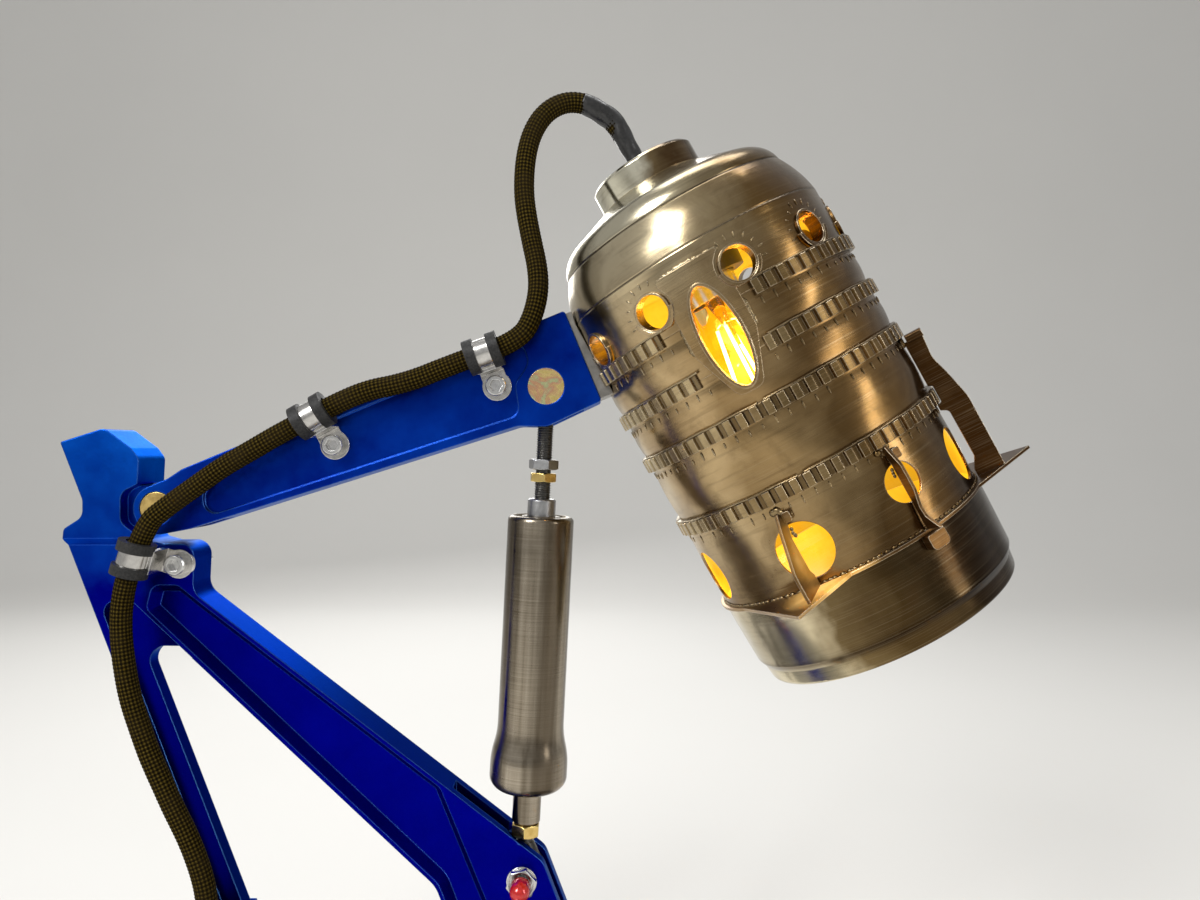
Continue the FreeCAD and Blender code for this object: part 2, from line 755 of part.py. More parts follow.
def eye(shank_to, neck_radius, neck_to):
    """A rod end whose eye is centred on the origin, with its shank along +Z."""
    body = y_rod(eye_radius, 0, 0, -eye_width / 2.0, eye_width / 2.0)
    neck = Part.makeCone(neck_radius, stud_radius + 0.6, neck_to - 6.5, Vector(0, 0, 6.5), Vector(0, 0, 1))
    flat = Part.makeBox(40, eye_width, 60, Vector(-20, -eye_width / 2.0, -10))
    body = body.fuse(neck.common(flat)).fuse(rod(stud_radius, Vector(0, 0, 8), Vector(0, 0, 1), shank_to - 8))
    return body.cut(Part.makeSphere(ball_radius, Vector(0, 0, 0)))


def ball(bore):
    sphere = Part.makeSphere(ball_radius, Vector(0, 0, 0))
    slice_box = Part.makeBox(40, ball_width, 40, Vector(-20, -ball_width / 2.0, -20))
    return sphere.common(slice_box).cut(y_rod(bore, 0, 0, -ball_width, ball_width))


def build_strut():
    down = strut_place(upper_pivot, False)
    up = strut_place(strut_pivot, True)
    upper_eye = eye(can_top + 6.0, 6.4, 13.0)
    save("upper_rod_end", put(upper_eye, down), put(ball(upper_pin_radius + running_gap), down))
    nut = hex_nut(nut_flats, steel_nut_height, stud_radius, 8.0)
    nut.translate(Vector(0, 0, steel_nut_from))
    collar = turned([(stud_radius, can_top - collar_height), (collar_radius - 0.6, can_top - collar_height),
                     (collar_radius, can_top - collar_height + 0.6), (collar_radius, can_top),
                     (stud_radius, can_top)])
    save("steel_nut_and_collar", put(nut, down), put(collar, down))
    nut = hex_nut(nut_flats - 0.6, brass_nut_height, stud_radius, 22.0)
    nut.translate(Vector(0, 0, brass_nut_from))
    save("brass_jam_nut", put(nut, down))
    save("strut_can", put(strut_can(), down))
    bush_outer = can_radius - can_wall
    bush_low = can_top + can_length - 4.0
    bush = turned([(rod_radius + rod_play, bush_low - 9), (bush_outer, bush_low - 9), (bush_outer, bush_low),
                   (rod_radius + rod_play, bush_low)])
    save("can_guide_bush", put(bush, down))
    lower = turned([(0, rod_foot), (rod_radius - 1, rod_foot), (rod_radius, rod_foot + 1),
                    (rod_radius, rod_foot + rod_length), (0, rod_foot + rod_length)])
    lower = lower.cut(rod(stud_radius, Vector(0, 0, rod_foot), Vector(0, 0, 1), 11.0))
    head = rod_foot + rod_length
    piston = turned([(0, head), (piston_radius - 1, head), (piston_radius, head + 1),
                     (piston_radius, head + piston_height - 1), (piston_radius - 1, head + piston_height),
                     (0, head + piston_height)])
    save("strut_rod", put(lower.fuse(piston).removeSplitter(), up))
    nut = hex_nut(nut_flats, rod_nut_height, stud_radius, 30.0)
    nut.translate(Vector(0, 0, rod_foot - rod_nut_height))
    save("rod_brass_nut", put(nut, up))
    lower_eye = eye(rod_foot + 10.0, 7.2, 13.6)
    save("lower_rod_end", put(lower_eye, up), put(ball(release_sleeve_radius + running_gap), up))


def dome_mid(radius, z_edge, z_tip):
    """The middle point of a ball-shaped dome's profile, from its edge to its tip on the axis."""
    height = z_tip - z_edge
    ball_size = (radius ** 2 + height ** 2) / (2 * abs(height))
    centre = z_tip - math.copysign(ball_size, height)
    half_angle = math.atan2(radius, math.copysign(1.0, height) * (z_edge - centre)) / 2.0
    return (ball_size * math.sin(half_angle), centre + math.copysign(ball_size, height) * math.cos(half_angle))


def s_curve(r_from, z_from, r_to, z_to):
    """Two arcs that leave and end along the axis, as profile entries."""
    r_mid = (r_from + r_to) / 2.0
    z_mid = (z_from + z_to) / 2.0
    step_r = r_mid - r_from
    step_z = z_mid - z_from
    bend = (step_r ** 2 + step_z ** 2) / (2 * abs(step_r))
    sweep = math.asin(step_z / bend) / 2.0
    side = 1.0 if step_r > 0 else -1.0
    lift = bend * (1 - math.cos(sweep)) * side
    run = bend * math.sin(sweep)
    return [(r_mid, z_mid, (r_from + lift, z_from + run)), (r_to, z_to, (r_to - lift, z_to - run))]


def strut_can():
    bottom = can_top + can_length
    flare_from = bottom - flare_end - flare_length
    inner = can_radius - can_wall
    groove = 1.0
    profile = [(stud_radius + 1.0, can_top), (collar_radius + 2.0, can_top),
               (collar_radius + 2.6, can_top + groove), (can_radius - 3.0, can_top + groove),
               (can_radius - 2.0, can_top), (can_radius, can_top + 2.0, (can_radius - 0.6, can_top + 0.6)),
               (can_radius, flare_from)]
    profile += s_curve(can_radius, flare_from, flare_radius, flare_from + flare_length)
    profile += [(flare_radius, bottom - 6.0), (flare_radius - 3.4, bottom, (flare_radius - 1.0, bottom - 2.0)),
                (rod_radius + rod_play + 0.6, bottom), (rod_radius + rod_play + 0.6, bottom - 4.0),
                (inner, bottom - 4.0), (inner, can_top + 2.6), (stud_radius + 1.0, can_top + 2.6)]
    return turned(profile)


# Head: hub, lid and shell sections

def section(s_from, s_to, swell, land=3.4):
    """One barrel section with straight lands at its ends and a swelling between them."""
    r = shell_radius
    low = s_from + land
    high = s_to - land
    mid = (low + high) / 2.0
    w = shell_wall
    return turned([(r - w, s_from), (r, s_from), (r, low), (r, high, (r + swell, mid)), (r, s_to),
                   (r - w, s_to), (r - w, high), (r - w, low, (r - w + swell, mid))])


def radial(theta, radius, s, r_from, r_to):
    """A round cutter that points out of the head's axis at an angle."""
    angle = math.radians(theta)
    way = Vector(math.cos(angle), math.sin(angle), 0)
    return rod(radius, Vector(0, 0, s) + way * r_from, way, r_to - r_from)


def radial_prism(theta, corners, r_from, r_to):
    """A prism that points out of the axis. Its corners are (sideways, along, radius)."""
    angle = math.radians(theta)
    way = Vector(math.cos(angle), math.sin(angle), 0)
    side = Vector(math.sin(angle), -math.cos(angle), 0)
    prism = slab(corners, r_from, r_to)
    return put(prism, axes_at(Vector(0, 0, 0), side, way, Vector(0, 0, 1)))


def oval(theta, s, half_length, half_width, r_from, r_to):
    """An elliptical cutter that points out of the axis."""
    angle = math.radians(theta)
    way = Vector(math.cos(angle), math.sin(angle), 0)
    ellipse = Part.Ellipse(Vector(0, 0, 0), half_length, half_width)
    face = Part.Face(Part.Wire(ellipse.toShape()))
    prism = face.extrude(Vector(0, 0, r_to - r_from))
    along = Vector(0, 0, 1)
    return put(prism, axes_at(Vector(0, 0, s) + way * r_from, along, way.cross(along), way))


def radial_plate(theta, corners, sheet):
    """A flat plate in a plane through the axis. Its corners are (radius, along, rounding)."""
    angle = math.radians(theta)
    way = Vector(math.cos(angle), math.sin(angle), 0)
    side = Vector(-math.sin(angle), math.cos(angle), 0)
    plate = slab(corners, -sheet / 2.0, sheet / 2.0)
    return put(plate, axes_at(Vector(0, 0, 0), way, side, Vector(0, 0, 1)))


def bolt_cutters(radius):
    cutters = []
    for across in head_bolt_places:
        cutter = rod(radius, Vector(arm_end - 2, 0, across), Vector(1, 0, 0), 20.0)
        cutters.append(put(cutter, arm_place()))
    return cutters


def head_save(name, *shapes):
    save(name, *[put(shape, head_place()) for shape in shapes])


def build_shell():
    w = shell_wall
    top = hub_height
    hub = turned([(nipple_radius, 0), (hub_radius - 1.2, 0), (hub_radius, 1.2), (hub_radius, top),
                  (nipple_radius, top)])
    head_save("hub_cap", hub)
    slope_end = (lid_radius - lid_slope_in, lid_edge - lid_slope_up)
    mid = (lid_radius - lid_round_in, lid_edge - lid_round_up)
    inner_mid = (mid[0] - 0.85 * w, mid[1] + 0.7 * w)
    lid = turned([(nipple_radius, top), (hub_radius, top), slope_end, (lid_radius, lid_edge, mid),
                  (lid_radius - w, lid_edge), (slope_end[0] - 0.42 * w, slope_end[1] + w, inner_mid),
                  (hub_radius, top + 1.1 * w), (nipple_radius, top + 1.1 * w)])
    head_save("dome_lid", lid)
    mid = upper_mid
    upper = turned([(lid_radius - w, lid_edge), (lid_radius, lid_edge), (shell_radius, weld_line, mid),
                    (shell_radius - w, weld_line), (lid_radius - w, lid_edge, (mid[0] - w, mid[1]))])
    first, second, third, fourth = strip_stations
    port_band = section(weld_line, first, 0.3)
    for angle in port_angles:
        port_band = port_band.cut(radial(angle, port_radius + ferrule_wall, port_station, inside_shell, outside_shell))
    cutter = oval(oval_angle, oval_station, oval_half_length + plate_sheet,
                  oval_half_width + plate_sheet, inside_shell, outside_shell)
    band_a = section(first, second, bulge).cut(cutter)
    band_b = section(second, third, bulge).cut(cutter)
    port_band = port_band.cut(cutter)
    placed_upper = put(upper, head_place())
    placed_ports = put(port_band, head_place())
    for bolt in bolt_cutters(head_bolt_radius + seat_gap):
        placed_upper = placed_upper.cut(bolt)
        placed_ports = placed_ports.cut(bolt)
    save("upper_shell", placed_upper)
    save("port_band", placed_ports)
    head_save("shell_bands", band_a, band_b, section(third, fourth, bulge))
    dilution = section(fourth, flange_station, 0.4)
    for angle in large_hole_angles:
        dilution = dilution.cut(radial(angle, large_hole, hole_station, inside_shell, outside_shell))
    for angle in small_hole_angles:
        dilution = dilution.cut(radial(angle, small_hole, small_hole_station, inside_shell, outside_shell))
    head_save("dilution_band", dilution)
    step = head_length - mouth_lip
    skirt = turned([(skirt_radius - w, flange_station), (skirt_radius, flange_station),
                    (skirt_radius, flange_station + 8), (skirt_radius - 0.7, step - 2.4),
                    (mouth_radius + 0.6, step + 0.6), (mouth_radius, head_length - 1.2),
                    (mouth_radius - 2.4, head_length - 1.2, (mouth_radius - 1.2, head_length)),
                    (mouth_radius - w, head_length - 2.0), (mouth_radius + 0.6 - w, step + 0.6),
                    (skirt_radius - 0.7 - w, step - 2.4), (skirt_radius - w, flange_station + 8)])
    head_save("lower_skirt", skirt)


def crimped_strip(s, gaps):
    """A crimped cooling strip round the shell, left out over the gaps (from, to) in degrees."""
    pitch = 360.0 / strip_teeth
    inner = shell_radius + 0.1
    low = inner + strip_depth * 0.45
    high = inner + strip_depth
    runs = []
    run = []
    for tooth in range(strip_teeth):
        angle = tooth * pitch
        if any(a <= angle <= b for a, b in gaps):
            if run:
                runs.append(run)
            run = []
        else:
            run.append(angle)
    if run:
        runs.append(run)
    if len(runs) > 1 and not gaps == ():
        runs[0] = [angle - 360.0 for angle in runs[-1]] + runs[0]
        runs.pop()
    solids = []
    for run in runs:
        outer = []
        inside = []
        for angle in run:
            for share, radius in ((0.0, low), (0.3, low), (0.4, high), (0.9, high)):
                a = math.radians(angle + share * pitch)
                outer.append(Vector(radius * math.cos(a), radius * math.sin(a), s - strip_height / 2.0))
            a = math.radians(angle)
            inside.append(Vector(inner * math.cos(a), inner * math.sin(a), s - strip_height / 2.0))
        if len(run) == strip_teeth:
            ring = Part.Face(Part.makePolygon(outer + [outer[0]])).extrude(Vector(0, 0, strip_height))
            solids.append(ring.cut(rod(inner, Vector(0, 0, 0), Vector(0, 0, 1), head_length)))
        else:
            last = math.radians(run[-1] + 0.9 * pitch)
            end = Vector(inner * math.cos(last), inner * math.sin(last), s - strip_height / 2.0)
            first = inside[0]
            middle_angle = math.radians((run[0] + run[-1] + 0.9 * pitch) / 2.0)
            middle = Vector(inner * math.cos(middle_angle), inner * math.sin(middle_angle), first.z)
            edges = [Part.LineSegment(a, b).toShape() for a, b in zip(outer[:-1], outer[1:])]
            edges.append(Part.LineSegment(outer[-1], end).toShape())
            edges.append(Part.Arc(end, middle, first).toShape())
            edges.append(Part.LineSegment(first, outer[0]).toShape())
            solids.append(Part.Face(Part.Wire(edges)).extrude(Vector(0, 0, strip_height)))
    return solids


def build_strips():
    first, second, third, fourth = strip_stations
    solids = crimped_strip(first, ((oval_angle - 17, oval_angle + 16), (180 - 15, 180 + 15)))
    solids += crimped_strip(second, ((oval_angle - 13, oval_angle + 13),))
    solids += crimped_strip(third, ())
    solids += crimped_strip(fourth, ())
    head_save("crimped_strips", *solids)


def build_ports():
    ferrules = []
    for angle in port_angles:
        ring = radial(angle, port_radius + ferrule_wall, port_station, shell_radius - 5, shell_radius + 1.0)
        ring = ring.cut(radial(angle, port_radius, port_station, shell_radius - 6, shell_radius + 2))
        lip = radial(angle, port_radius + 2.2, port_station, shell_radius - 3, shell_radius + 1.2)
        lip = lip.cut(radial(angle, port_radius + ferrule_wall, port_station, shell_radius - 6, shell_radius + 3))
        shell_outside = rod(shell_radius + 0.4, Vector(0, 0, 0), Vector(0, 0, 1), head_length)
        lip = lip.cut(shell_outside)
        stop = strip_stations[0] - strip_height / 2.0 - 0.1
        lower = radial_prism(angle, [(-20, port_station + 1, 0), (20, port_station + 1, 0),
                                     (20, stop, 0), (-20, stop, 0)], inside_shell, outside_shell)
        ferrules += [ring.fuse(lip.common(lower))]
    head_save("port_ferrules", *ferrules)
    low = oval_station + oval_half_length + 2.5
    top = port_station - patch_above_ports
    widest = oval_station + patch_shoulder
    half = patch_width / 2.0
    plate_corners = [(-half, top, 1.0), (half, top, 1.0), (half, widest, 6.0), (patch_tip, low, 4.0),
                     (-patch_tip, low, 4.0), (-half, widest, 6.0)]
    plate = radial_prism(oval_angle, plate_corners, inside_shell, outside_shell)
    skin = tube_along(shell_radius + bulge + plate_sheet + 0.1, shell_radius + bulge + 0.1,
                      Vector(0, 0, lid_edge), Vector(0, 0, 1), strip_stations[2])
    patch = plate.common(skin)
    rim = oval(oval_angle, oval_station, oval_half_length + plate_sheet, oval_half_width + plate_sheet,
               shell_radius - 3.5, shell_radius + 3.4)
    hole = oval(oval_angle, oval_station, oval_half_length, oval_half_width, inside_shell, outside_shell)
    for angle in port_angles:
        patch = patch.cut(radial(angle, port_radius + 2.5, port_station, inside_shell, outside_shell))
    head_save("oval_port", patch.fuse(rim).cut(hole))


# Eared flange, gussets, fin and weld tabs

def build_flange():
    z = flange_station
    ring = rod(skirt_radius + flange_rim, Vector(0, 0, z), Vector(0, 0, 1), flange_sheet)
    root = skirt_radius + 0.4
    for tip_angle, reach, near, far in ears:
        points = []
        for angle, radius in ((tip_angle, skirt_radius + reach), (near, root), (far, root)):
            a = math.radians(angle)
            points.append(Vector(radius * math.cos(a), radius * math.sin(a), z))
        ear = Part.Face(Part.makePolygon(points + [points[0]])).extrude(Vector(0, 0, flange_sheet))
        ring = ring.fuse(ear)
    ring = ring.cut(rod(skirt_radius + 0.1, Vector(0, 0, z - 1), Vector(0, 0, 1), 4))
    head_save("eared_flange", ring.removeSplitter())


def build_gussets():
    wall = shell_radius + 0.5
    f = flange_station
    stop = f - 0.1
    triangle = [(wall, f - 29.0, 0), (wall + 5.0, f - 31.5, 0.8), (wall + 8.5, f - 27.0, 4.0),
                (wall + 19.0, f - 11.0, 4.0), (wall + 19.0, stop, 0), (wall + 0.8, stop, 0),
                (wall + 0.8, stop - 4.5, 1.0), (wall + 3.2, stop - 7.0, 1.0), (wall + 3.2, f - 21.0, 1.0),
                (wall, f - 25.0, 0)]
    plates = [radial_plate(angle, triangle, plate_sheet) for angle in wide_gusset_angles]
    narrow = [(wall, f - 33.5, 0), (wall + 2.0, f - 33.8, 0.6), (wall + 5.6, f - 26.0, 4.0),
              (wall + 5.6, f - 16.0, 4.0), (wall + 3.4, f - 9.0, 4.0), (wall + 3.8, f - 5.0, 2.0),
              (wall + 9.0, stop, 0), (wall + 0.8, stop, 0), (wall + 0.8, f - 28.0, 1.0), (wall, f - 29.0, 0)]
    plates += [radial_plate(angle, narrow, plate_sheet) for angle in narrow_gusset_angles]
    last = strip_stations[3]
    strip_top = shell_radius + 0.1 + strip_depth + 0.2
    above = last - strip_height / 2.0 - 0.8
    below = last + strip_height / 2.0 + 0.8
    fin = [(wall + 0.6, last - 24.0, 0), (wall + 8.4, last - 25.2, 0.8), (wall + 7.4, last - 14.0, 12.0),
           (wall + 9.6, last - 6.0, 8.0), (wall + 12.2, last + 6.0, 12.0), (wall + 11.9, stop, 0),
           (wall + 0.8, stop, 0), (wall + 0.8, stop - 3.0, 1.0), (strip_top + 1.0, stop - 8.0, 2.0),
           (strip_top + 1.0, last + 8.0, 2.0), (wall + 0.3, last + 6.6, 0.5), (wall + 0.3, below + 0.8, 0.5),
           (strip_top, below, 0.4), (strip_top, above, 0.4), (wall + 0.6, above - 0.8, 0.4)]
    plates.append(radial_plate(fin_angle, fin, plate_sheet))
    head_save("flange_gussets", *plates)
    low = last - 23.4
    high = last - 26.8
    block = radial_prism(fin_angle, [(-3.4, high, 0.8), (3.4, high, 0.8), (3.4, low, 0.8), (-3.4, low, 0.8)],
                         wall + 1.8, wall + 8.6)
    tabs = [block.cut(radial_plate(fin_angle, fin, plate_sheet + 0.2))]
    places = [(angle, f - 27.5) for angle in wide_gusset_angles]
    places += [(angle, f - 29.0) for angle in narrow_gusset_angles]
    for theta, s in places:
        tab = radial_prism(theta - 2.4, [(-1.6, s - 3.0, 0.8), (1.6, s - 3.0, 0.8), (1.6, s + 1.0, 0.8),
                                         (-1.6, s + 1.0, 0.8)], shell_radius, shell_radius + 3.4)
        tab = tab.cut(rod(shell_radius + 0.45, Vector(0, 0, s - 50), Vector(0, 0, 1), 100))
        room = [(inside_shell, s - 9, 0), (outside_shell, s - 9, 0), (outside_shell, s + 9, 0),
                (inside_shell, s + 9, 0)]
        tab = tab.cut(radial_plate(theta, room, plate_sheet + 0.2))
        tabs.append(largest(tab))
    clip = radial_prism(narrow_gusset_angles[0], [(-4.0, f + 1.4, 1.0), (4.0, f + 1.4, 1.0),
                                                  (4.0, f + 7.5, 2.0), (-4.0, f + 7.5, 2.0)],
                        shell_radius, shell_radius + 4.6)
    tabs.append(clip.cut(rod(skirt_radius, Vector(0, 0, f), Vector(0, 0, 1), 50)))
    head_save("weld_tabs", *tabs)


# Saddle, backing plate and bolts that hold the head on the arm

def cavity(offset):
    """The space inside the shell round the arm's end, shrunk or grown by an offset."""
    r = shell_radius + offset
    lid = lid_radius + offset
    middle = (upper_mid[0] + offset, upper_mid[1])
    end = strip_stations[3]
    return turned([(0, lid_edge), (lid, lid_edge), (r, weld_line, middle), (r, end), (0, end)])


def build_saddle():
    outside = put(cavity(0.55), head_place())
    inside = put(cavity(-shell_wall - 0.1), head_place())
    width = arm_thickness - 1.0
    low = arm_bottom + 1.0
    block = Part.makeBox(14, width, saddle_height, Vector(arm_end, -width / 2.0, low))
    saddle = put(block, arm_place()).cut(outside)
    face = arm_end + 8.5
    inner_block = Part.makeBox(backing_thickness + 6, width - 3, saddle_height - 6,
                               Vector(face - backing_thickness - 6, -(width - 3) / 2.0, low + 3))
    backing = put(inner_block, arm_place()).common(inside)
    for angle in port_angles:
        notch = put(radial(angle, port_radius + 2.6, port_station, inside_shell, outside_shell), head_place())
        saddle = saddle.cut(notch)
        backing = backing.cut(notch)
    for bolt in bolt_cutters(head_bolt_radius + screw_gap):
        saddle = saddle.cut(bolt)
        backing = backing.cut(bolt)
    save("head_saddle", largest(saddle), largest(backing))
    bolts = []
    for across, depth in zip(head_bolt_places, head_bolt_depths):
        grip = face - arm_end + depth - 0.6
        bolt = socket_screw(head_bolt_radius, head_bolt_head, head_bolt_head, grip)
        bolt = put(bolt, axes_at(Vector(face, 0, across), Vector(0, 1, 0), Vector(0, 0, 1), Vector(1, 0, 0)))
        bolts.append(put(bolt, arm_place()))
    save("head_bolts", *bolts)


def largest(shape):
    return max(shape.Solids, key=lambda solid: solid.Volume)


# Lamp holder, bulb and the leads inside the head

def build_lamp():
    inner_top = hub_height + 1.1 * shell_wall + 0.02
    nipple = turned([(nipple_bore, 0.6), (nipple_radius, 0.6), (nipple_radius, nipple_length),
                     (nipple_bore, nipple_length)])
    nuts = []
    for s in (inner_top, holder_from - 3.6):
        nut = hex_nut(18.0, 3.4, nipple_radius)
        nut.translate(Vector(0, 0, s))
        nuts.append(nut)
    head_save("hub_nipple", nipple, *nuts)
    r = holder_radius
    split = holder_from + 12.0
    end = holder_from + holder_height
    cap = turned([(nipple_radius, holder_from), (r - 4, holder_from), (r, holder_from + 4, (r - 1.2, holder_from + 1.2)),
                  (r, split), (r - 1.6, split), (r - 1.6, holder_from + 2), (nipple_radius, holder_from + 2)])
    ring = turned([(r - 1.6, split), (r, split), (r - 1.4, end), (bulb_cap_radius + 0.6, end),
                   (bulb_cap_radius + 0.6, end - 1.5), (r - 3.0, end - 1.5), (r - 1.6, split + 0.5)])
    head_save("lamp_holder", cap, ring)
    floor = bulb_from - 4.0
    core = rod(r - 3.4, Vector(0, 0, floor), Vector(0, 0, 1), 2.8)
    for side in (-1, 1):
        core = core.cut(rod(1.2, Vector(side * 8, 0, floor - 1), Vector(0, 0, 1), 6))
    head_save("holder_insert", core)
    thread = turned([(bulb_cap_radius + 0.25, floor + 2.8), (bulb_cap_radius + 0.75, floor + 2.8),
                     (bulb_cap_radius + 0.75, end - 3), (bulb_cap_radius + 0.25, end - 3)])
    contact = rod(3.0, Vector(0, 0, floor + 2.8), Vector(0, 0, 1), bulb_from - floor - 2.9)
    head_save("holder_contacts", thread, contact)
    neck = bulb_from + bulb_cap_height
    tip = bulb_from + 2.6
    metal = turned([(0, bulb_from), (4.0, bulb_from), (5.0, tip), (bulb_cap_radius - 2.0, tip + 1.0),
                    (bulb_cap_radius, tip + 3.0), (bulb_cap_radius, neck), (bulb_cap_radius - 1.0, neck),
                    (bulb_cap_radius - 1.0, tip + 4.0), (0, tip + 4.0)])
    head_save("bulb_cap", metal)
    end_of_bulb = bulb_from + bulb_length
    widest = end_of_bulb - bulb_radius
    g = 0.9
    neck_radius = bulb_cap_radius - 1.3
    glass = turned([(neck_radius - g, neck - 5), (neck_radius, neck - 5), (neck_radius, neck + 1)]
                   + s_curve(neck_radius, neck + 1, bulb_radius, widest)
                   + [(0, end_of_bulb, dome_mid(bulb_radius, widest, end_of_bulb)), (0, end_of_bulb - g),
                      (bulb_radius - g, widest, dome_mid(bulb_radius - g, widest, end_of_bulb - g))]
                   + s_curve(bulb_radius - g, widest, neck_radius - g, neck + 1))
    stem = turned([(0, tip + 4.1), (neck_radius - g - 1.0, tip + 4.1), (neck_radius - g - 1.0, tip + 6.0),
                   (4.0, neck), (2.2, neck + 8), (1.4, neck + 22), (0, neck + 22)])
    head_save("bulb_glass", glass, stem)
    filaments = []
    for i in range(4):
        angle = math.radians(90 * i + 20)
        low = Vector(5.0 * math.cos(angle), 5.0 * math.sin(angle), neck + 12)
        high = Vector(10.0 * math.cos(angle), 10.0 * math.sin(angle), neck + 42)
        filaments.append(rod(0.8, low, high - low, (high - low).Length))
    frame_wires = []
    for i in range(4):
        angle = math.radians(90 * i + 20)
        start = Vector(2.5 * math.cos(angle), 2.5 * math.sin(angle), neck + 10.5)
        low = Vector(4.6 * math.cos(angle), 4.6 * math.sin(angle), neck + 11.4)
        frame_wires.append(rod(0.35, start, low - start, (low - start).Length))
    head_save("bulb_filaments", *filaments, *frame_wires)
    leads = []
    for side in (-1, 1):
        bend = Vector(side * 2.0, 0, nipple_length + 0.8)
        straight = rod(0.9, Vector(side * 2.0, 0, 4.0), Vector(0, 0, 1), bend.z - 4.0)
        spread = Vector(side * 7.2, 0, floor - 0.6) - bend
        lead = straight.fuse(rod(0.9, bend, spread, spread.Length)).fuse(Part.makeSphere(0.9, bend))
        leads.append(lead.removeSplitter())
    head_save("lead_wires", *leads)


# Loop clips

def clip_place(x, z, tab_angle, plane, stand):
    """The placement of a clip whose screw is at (x, z) on a face at depth -plane."""
    a = math.radians(tab_angle)
    toward_screw = Vector(math.cos(a), 0, math.sin(a))
    out = Vector(0, -1, 0)
    centre = Vector(x, -plane - stand, z) - toward_screw * clip_reach
    return axes_at(centre, toward_screw, out, toward_screw.cross(out))


def clip_band(stand):
    """The loop and its tab. The tab rests on the face at the stand-off below the loop's axis."""
    inner = band_radius - band_sheet
    ring = tube_along(band_radius, inner, Vector(0, 0, -band_width / 2.0), Vector(0, 0, 1), band_width)
    neck_from = inner + 0.2
    neck_width = band_width - 0.4
    neck = Part.makeBox(2.0, stand, neck_width, Vector(neck_from, -stand, -neck_width / 2.0))
    neck = neck.cut(rod(neck_from, Vector(0, 0, -20), Vector(0, 0, 1), 40))
    foot = Part.makeBox(clip_reach - neck_from, tab_thickness, neck_width, Vector(neck_from, -stand, -neck_width / 2.0))
    tab = rod(tab_radius, Vector(clip_reach, -stand, 0), Vector(0, 1, 0), tab_thickness)
    body = ring.fuse(neck).fuse(foot).fuse(tab)
    return body.cut(rod(clip_screw_radius + screw_gap, Vector(clip_reach, -stand - 1, 0), Vector(0, 1, 0), 8))


def clip_cushion(stand):
    """The rubber strip in the loop, with a raised lip at each side of the band."""
    inner = band_radius - band_sheet
    edge = band_width / 2.0
    end = clip_width / 2.0
    lip = end - lip_width
    bore = sleeve_radius + cushion_play
    ring = turned([(bore, -end), (lip_radius, -end), (lip_radius, -lip), (band_radius, -lip),
                   (band_radius, -edge), (inner, -edge), (inner, edge), (band_radius, edge), (band_radius, lip),
                   (lip_radius, lip), (lip_radius, end), (bore, end)])
    gap = Part.makeBox(clip_reach, stand, band_width + 0.2, Vector(inner, -stand, -edge - 0.1))
    return ring.cut(gap)


def build_clips():
    arm_places = []
    arm_screws = []
    for (along, across), angle in zip(arm_clip_screws, arm_clip_angles):
        spot = arm_point(along, across)
        arm_places.append(clip_place(spot.x, spot.z, angle, arm_clip_plane, arm_clip_stand))
        screw = socket_screw(clip_screw_radius, clip_screw_head, clip_screw_head_height,
                             tab_thickness + clip_screw_grip)
        arm_screws.append(put(screw, toward_front(spot.x, -arm_clip_plane - tab_thickness, spot.z)))
    save("arm_clip_bands", *[put(clip_band(arm_clip_stand), place) for place in arm_places])
    save("arm_clip_cushions", *[put(clip_cushion(arm_clip_stand), place) for place in arm_places])
    save("arm_clip_screws", *arm_screws)
    frame_places = [clip_place(boss_x, boss_z, boss_clip_angle, leg_half, frame_clip_stand),
                    clip_place(leg_clip_x, leg_clip_z, leg_clip_angle, leg_half, frame_clip_stand)]
    save("frame_clip_bands", *[put(clip_band(frame_clip_stand), place) for place in frame_places])
    save("frame_clip_cushions", *[put(clip_cushion(frame_clip_stand), place) for place in frame_places])
    through = leg_thickness + tab_thickness + clip_nut_height + 1.0
    screws = []
    for x, z in ((boss_x, boss_z), (leg_clip_x, leg_clip_z)):
        screw = socket_screw(clip_screw_radius, clip_screw_head, clip_screw_head_height, through)
        screws.append(put(screw, toward_front(x, -leg_half - tab_thickness, z)))
        nut = hex_nut(clip_nut_flats, clip_nut_height, clip_screw_radius)
        screws.append(put(nut, axes_at(Vector(x, leg_half, z), Vector(1, 0, 0), Vector(0, 0, -1), Vector(0, 1, 0))))
    save("frame_clip_screws", *screws)


# Cord: its routes, and the tubes along them

def route_edges(points, name):
    """Straight runs joined by tangent arcs, each as large as its two runs allow."""
    corners = [Vector(*p) for p in points]
    edges = []
    here = corners[0]
    tightest = None
    length = 0.0
    for i in range(1, len(corners) - 1):
        back = corners[i - 1] - corners[i]
        forth = corners[i + 1] - corners[i]
        shorter = min(back.Length, forth.Length)
        turn = math.pi - back.getAngle(forth)
        reach = 0.45 * shorter
        radius = reach / math.tan(turn / 2.0)
        tightest = radius if tightest is None else min(tightest, radius)
        back.normalize()
        forth.normalize()
        start = corners[i] + back * reach
        end = corners[i] + forth * reach
        bisector = (back + forth).normalize()
        middle = corners[i] + bisector * (radius / math.cos(turn / 2.0) - radius)
        edges.append(Part.LineSegment(here, start).toShape())
        edges.append(Part.Arc(start, middle, end).toShape())
        here = end
    edges.append(Part.LineSegment(here, corners[-1]).toShape())
    length = sum(edge.Length for edge in edges)
    print(name, "length", round(length, 1), "tightest radius", round(tightest, 1))
    return edges, length


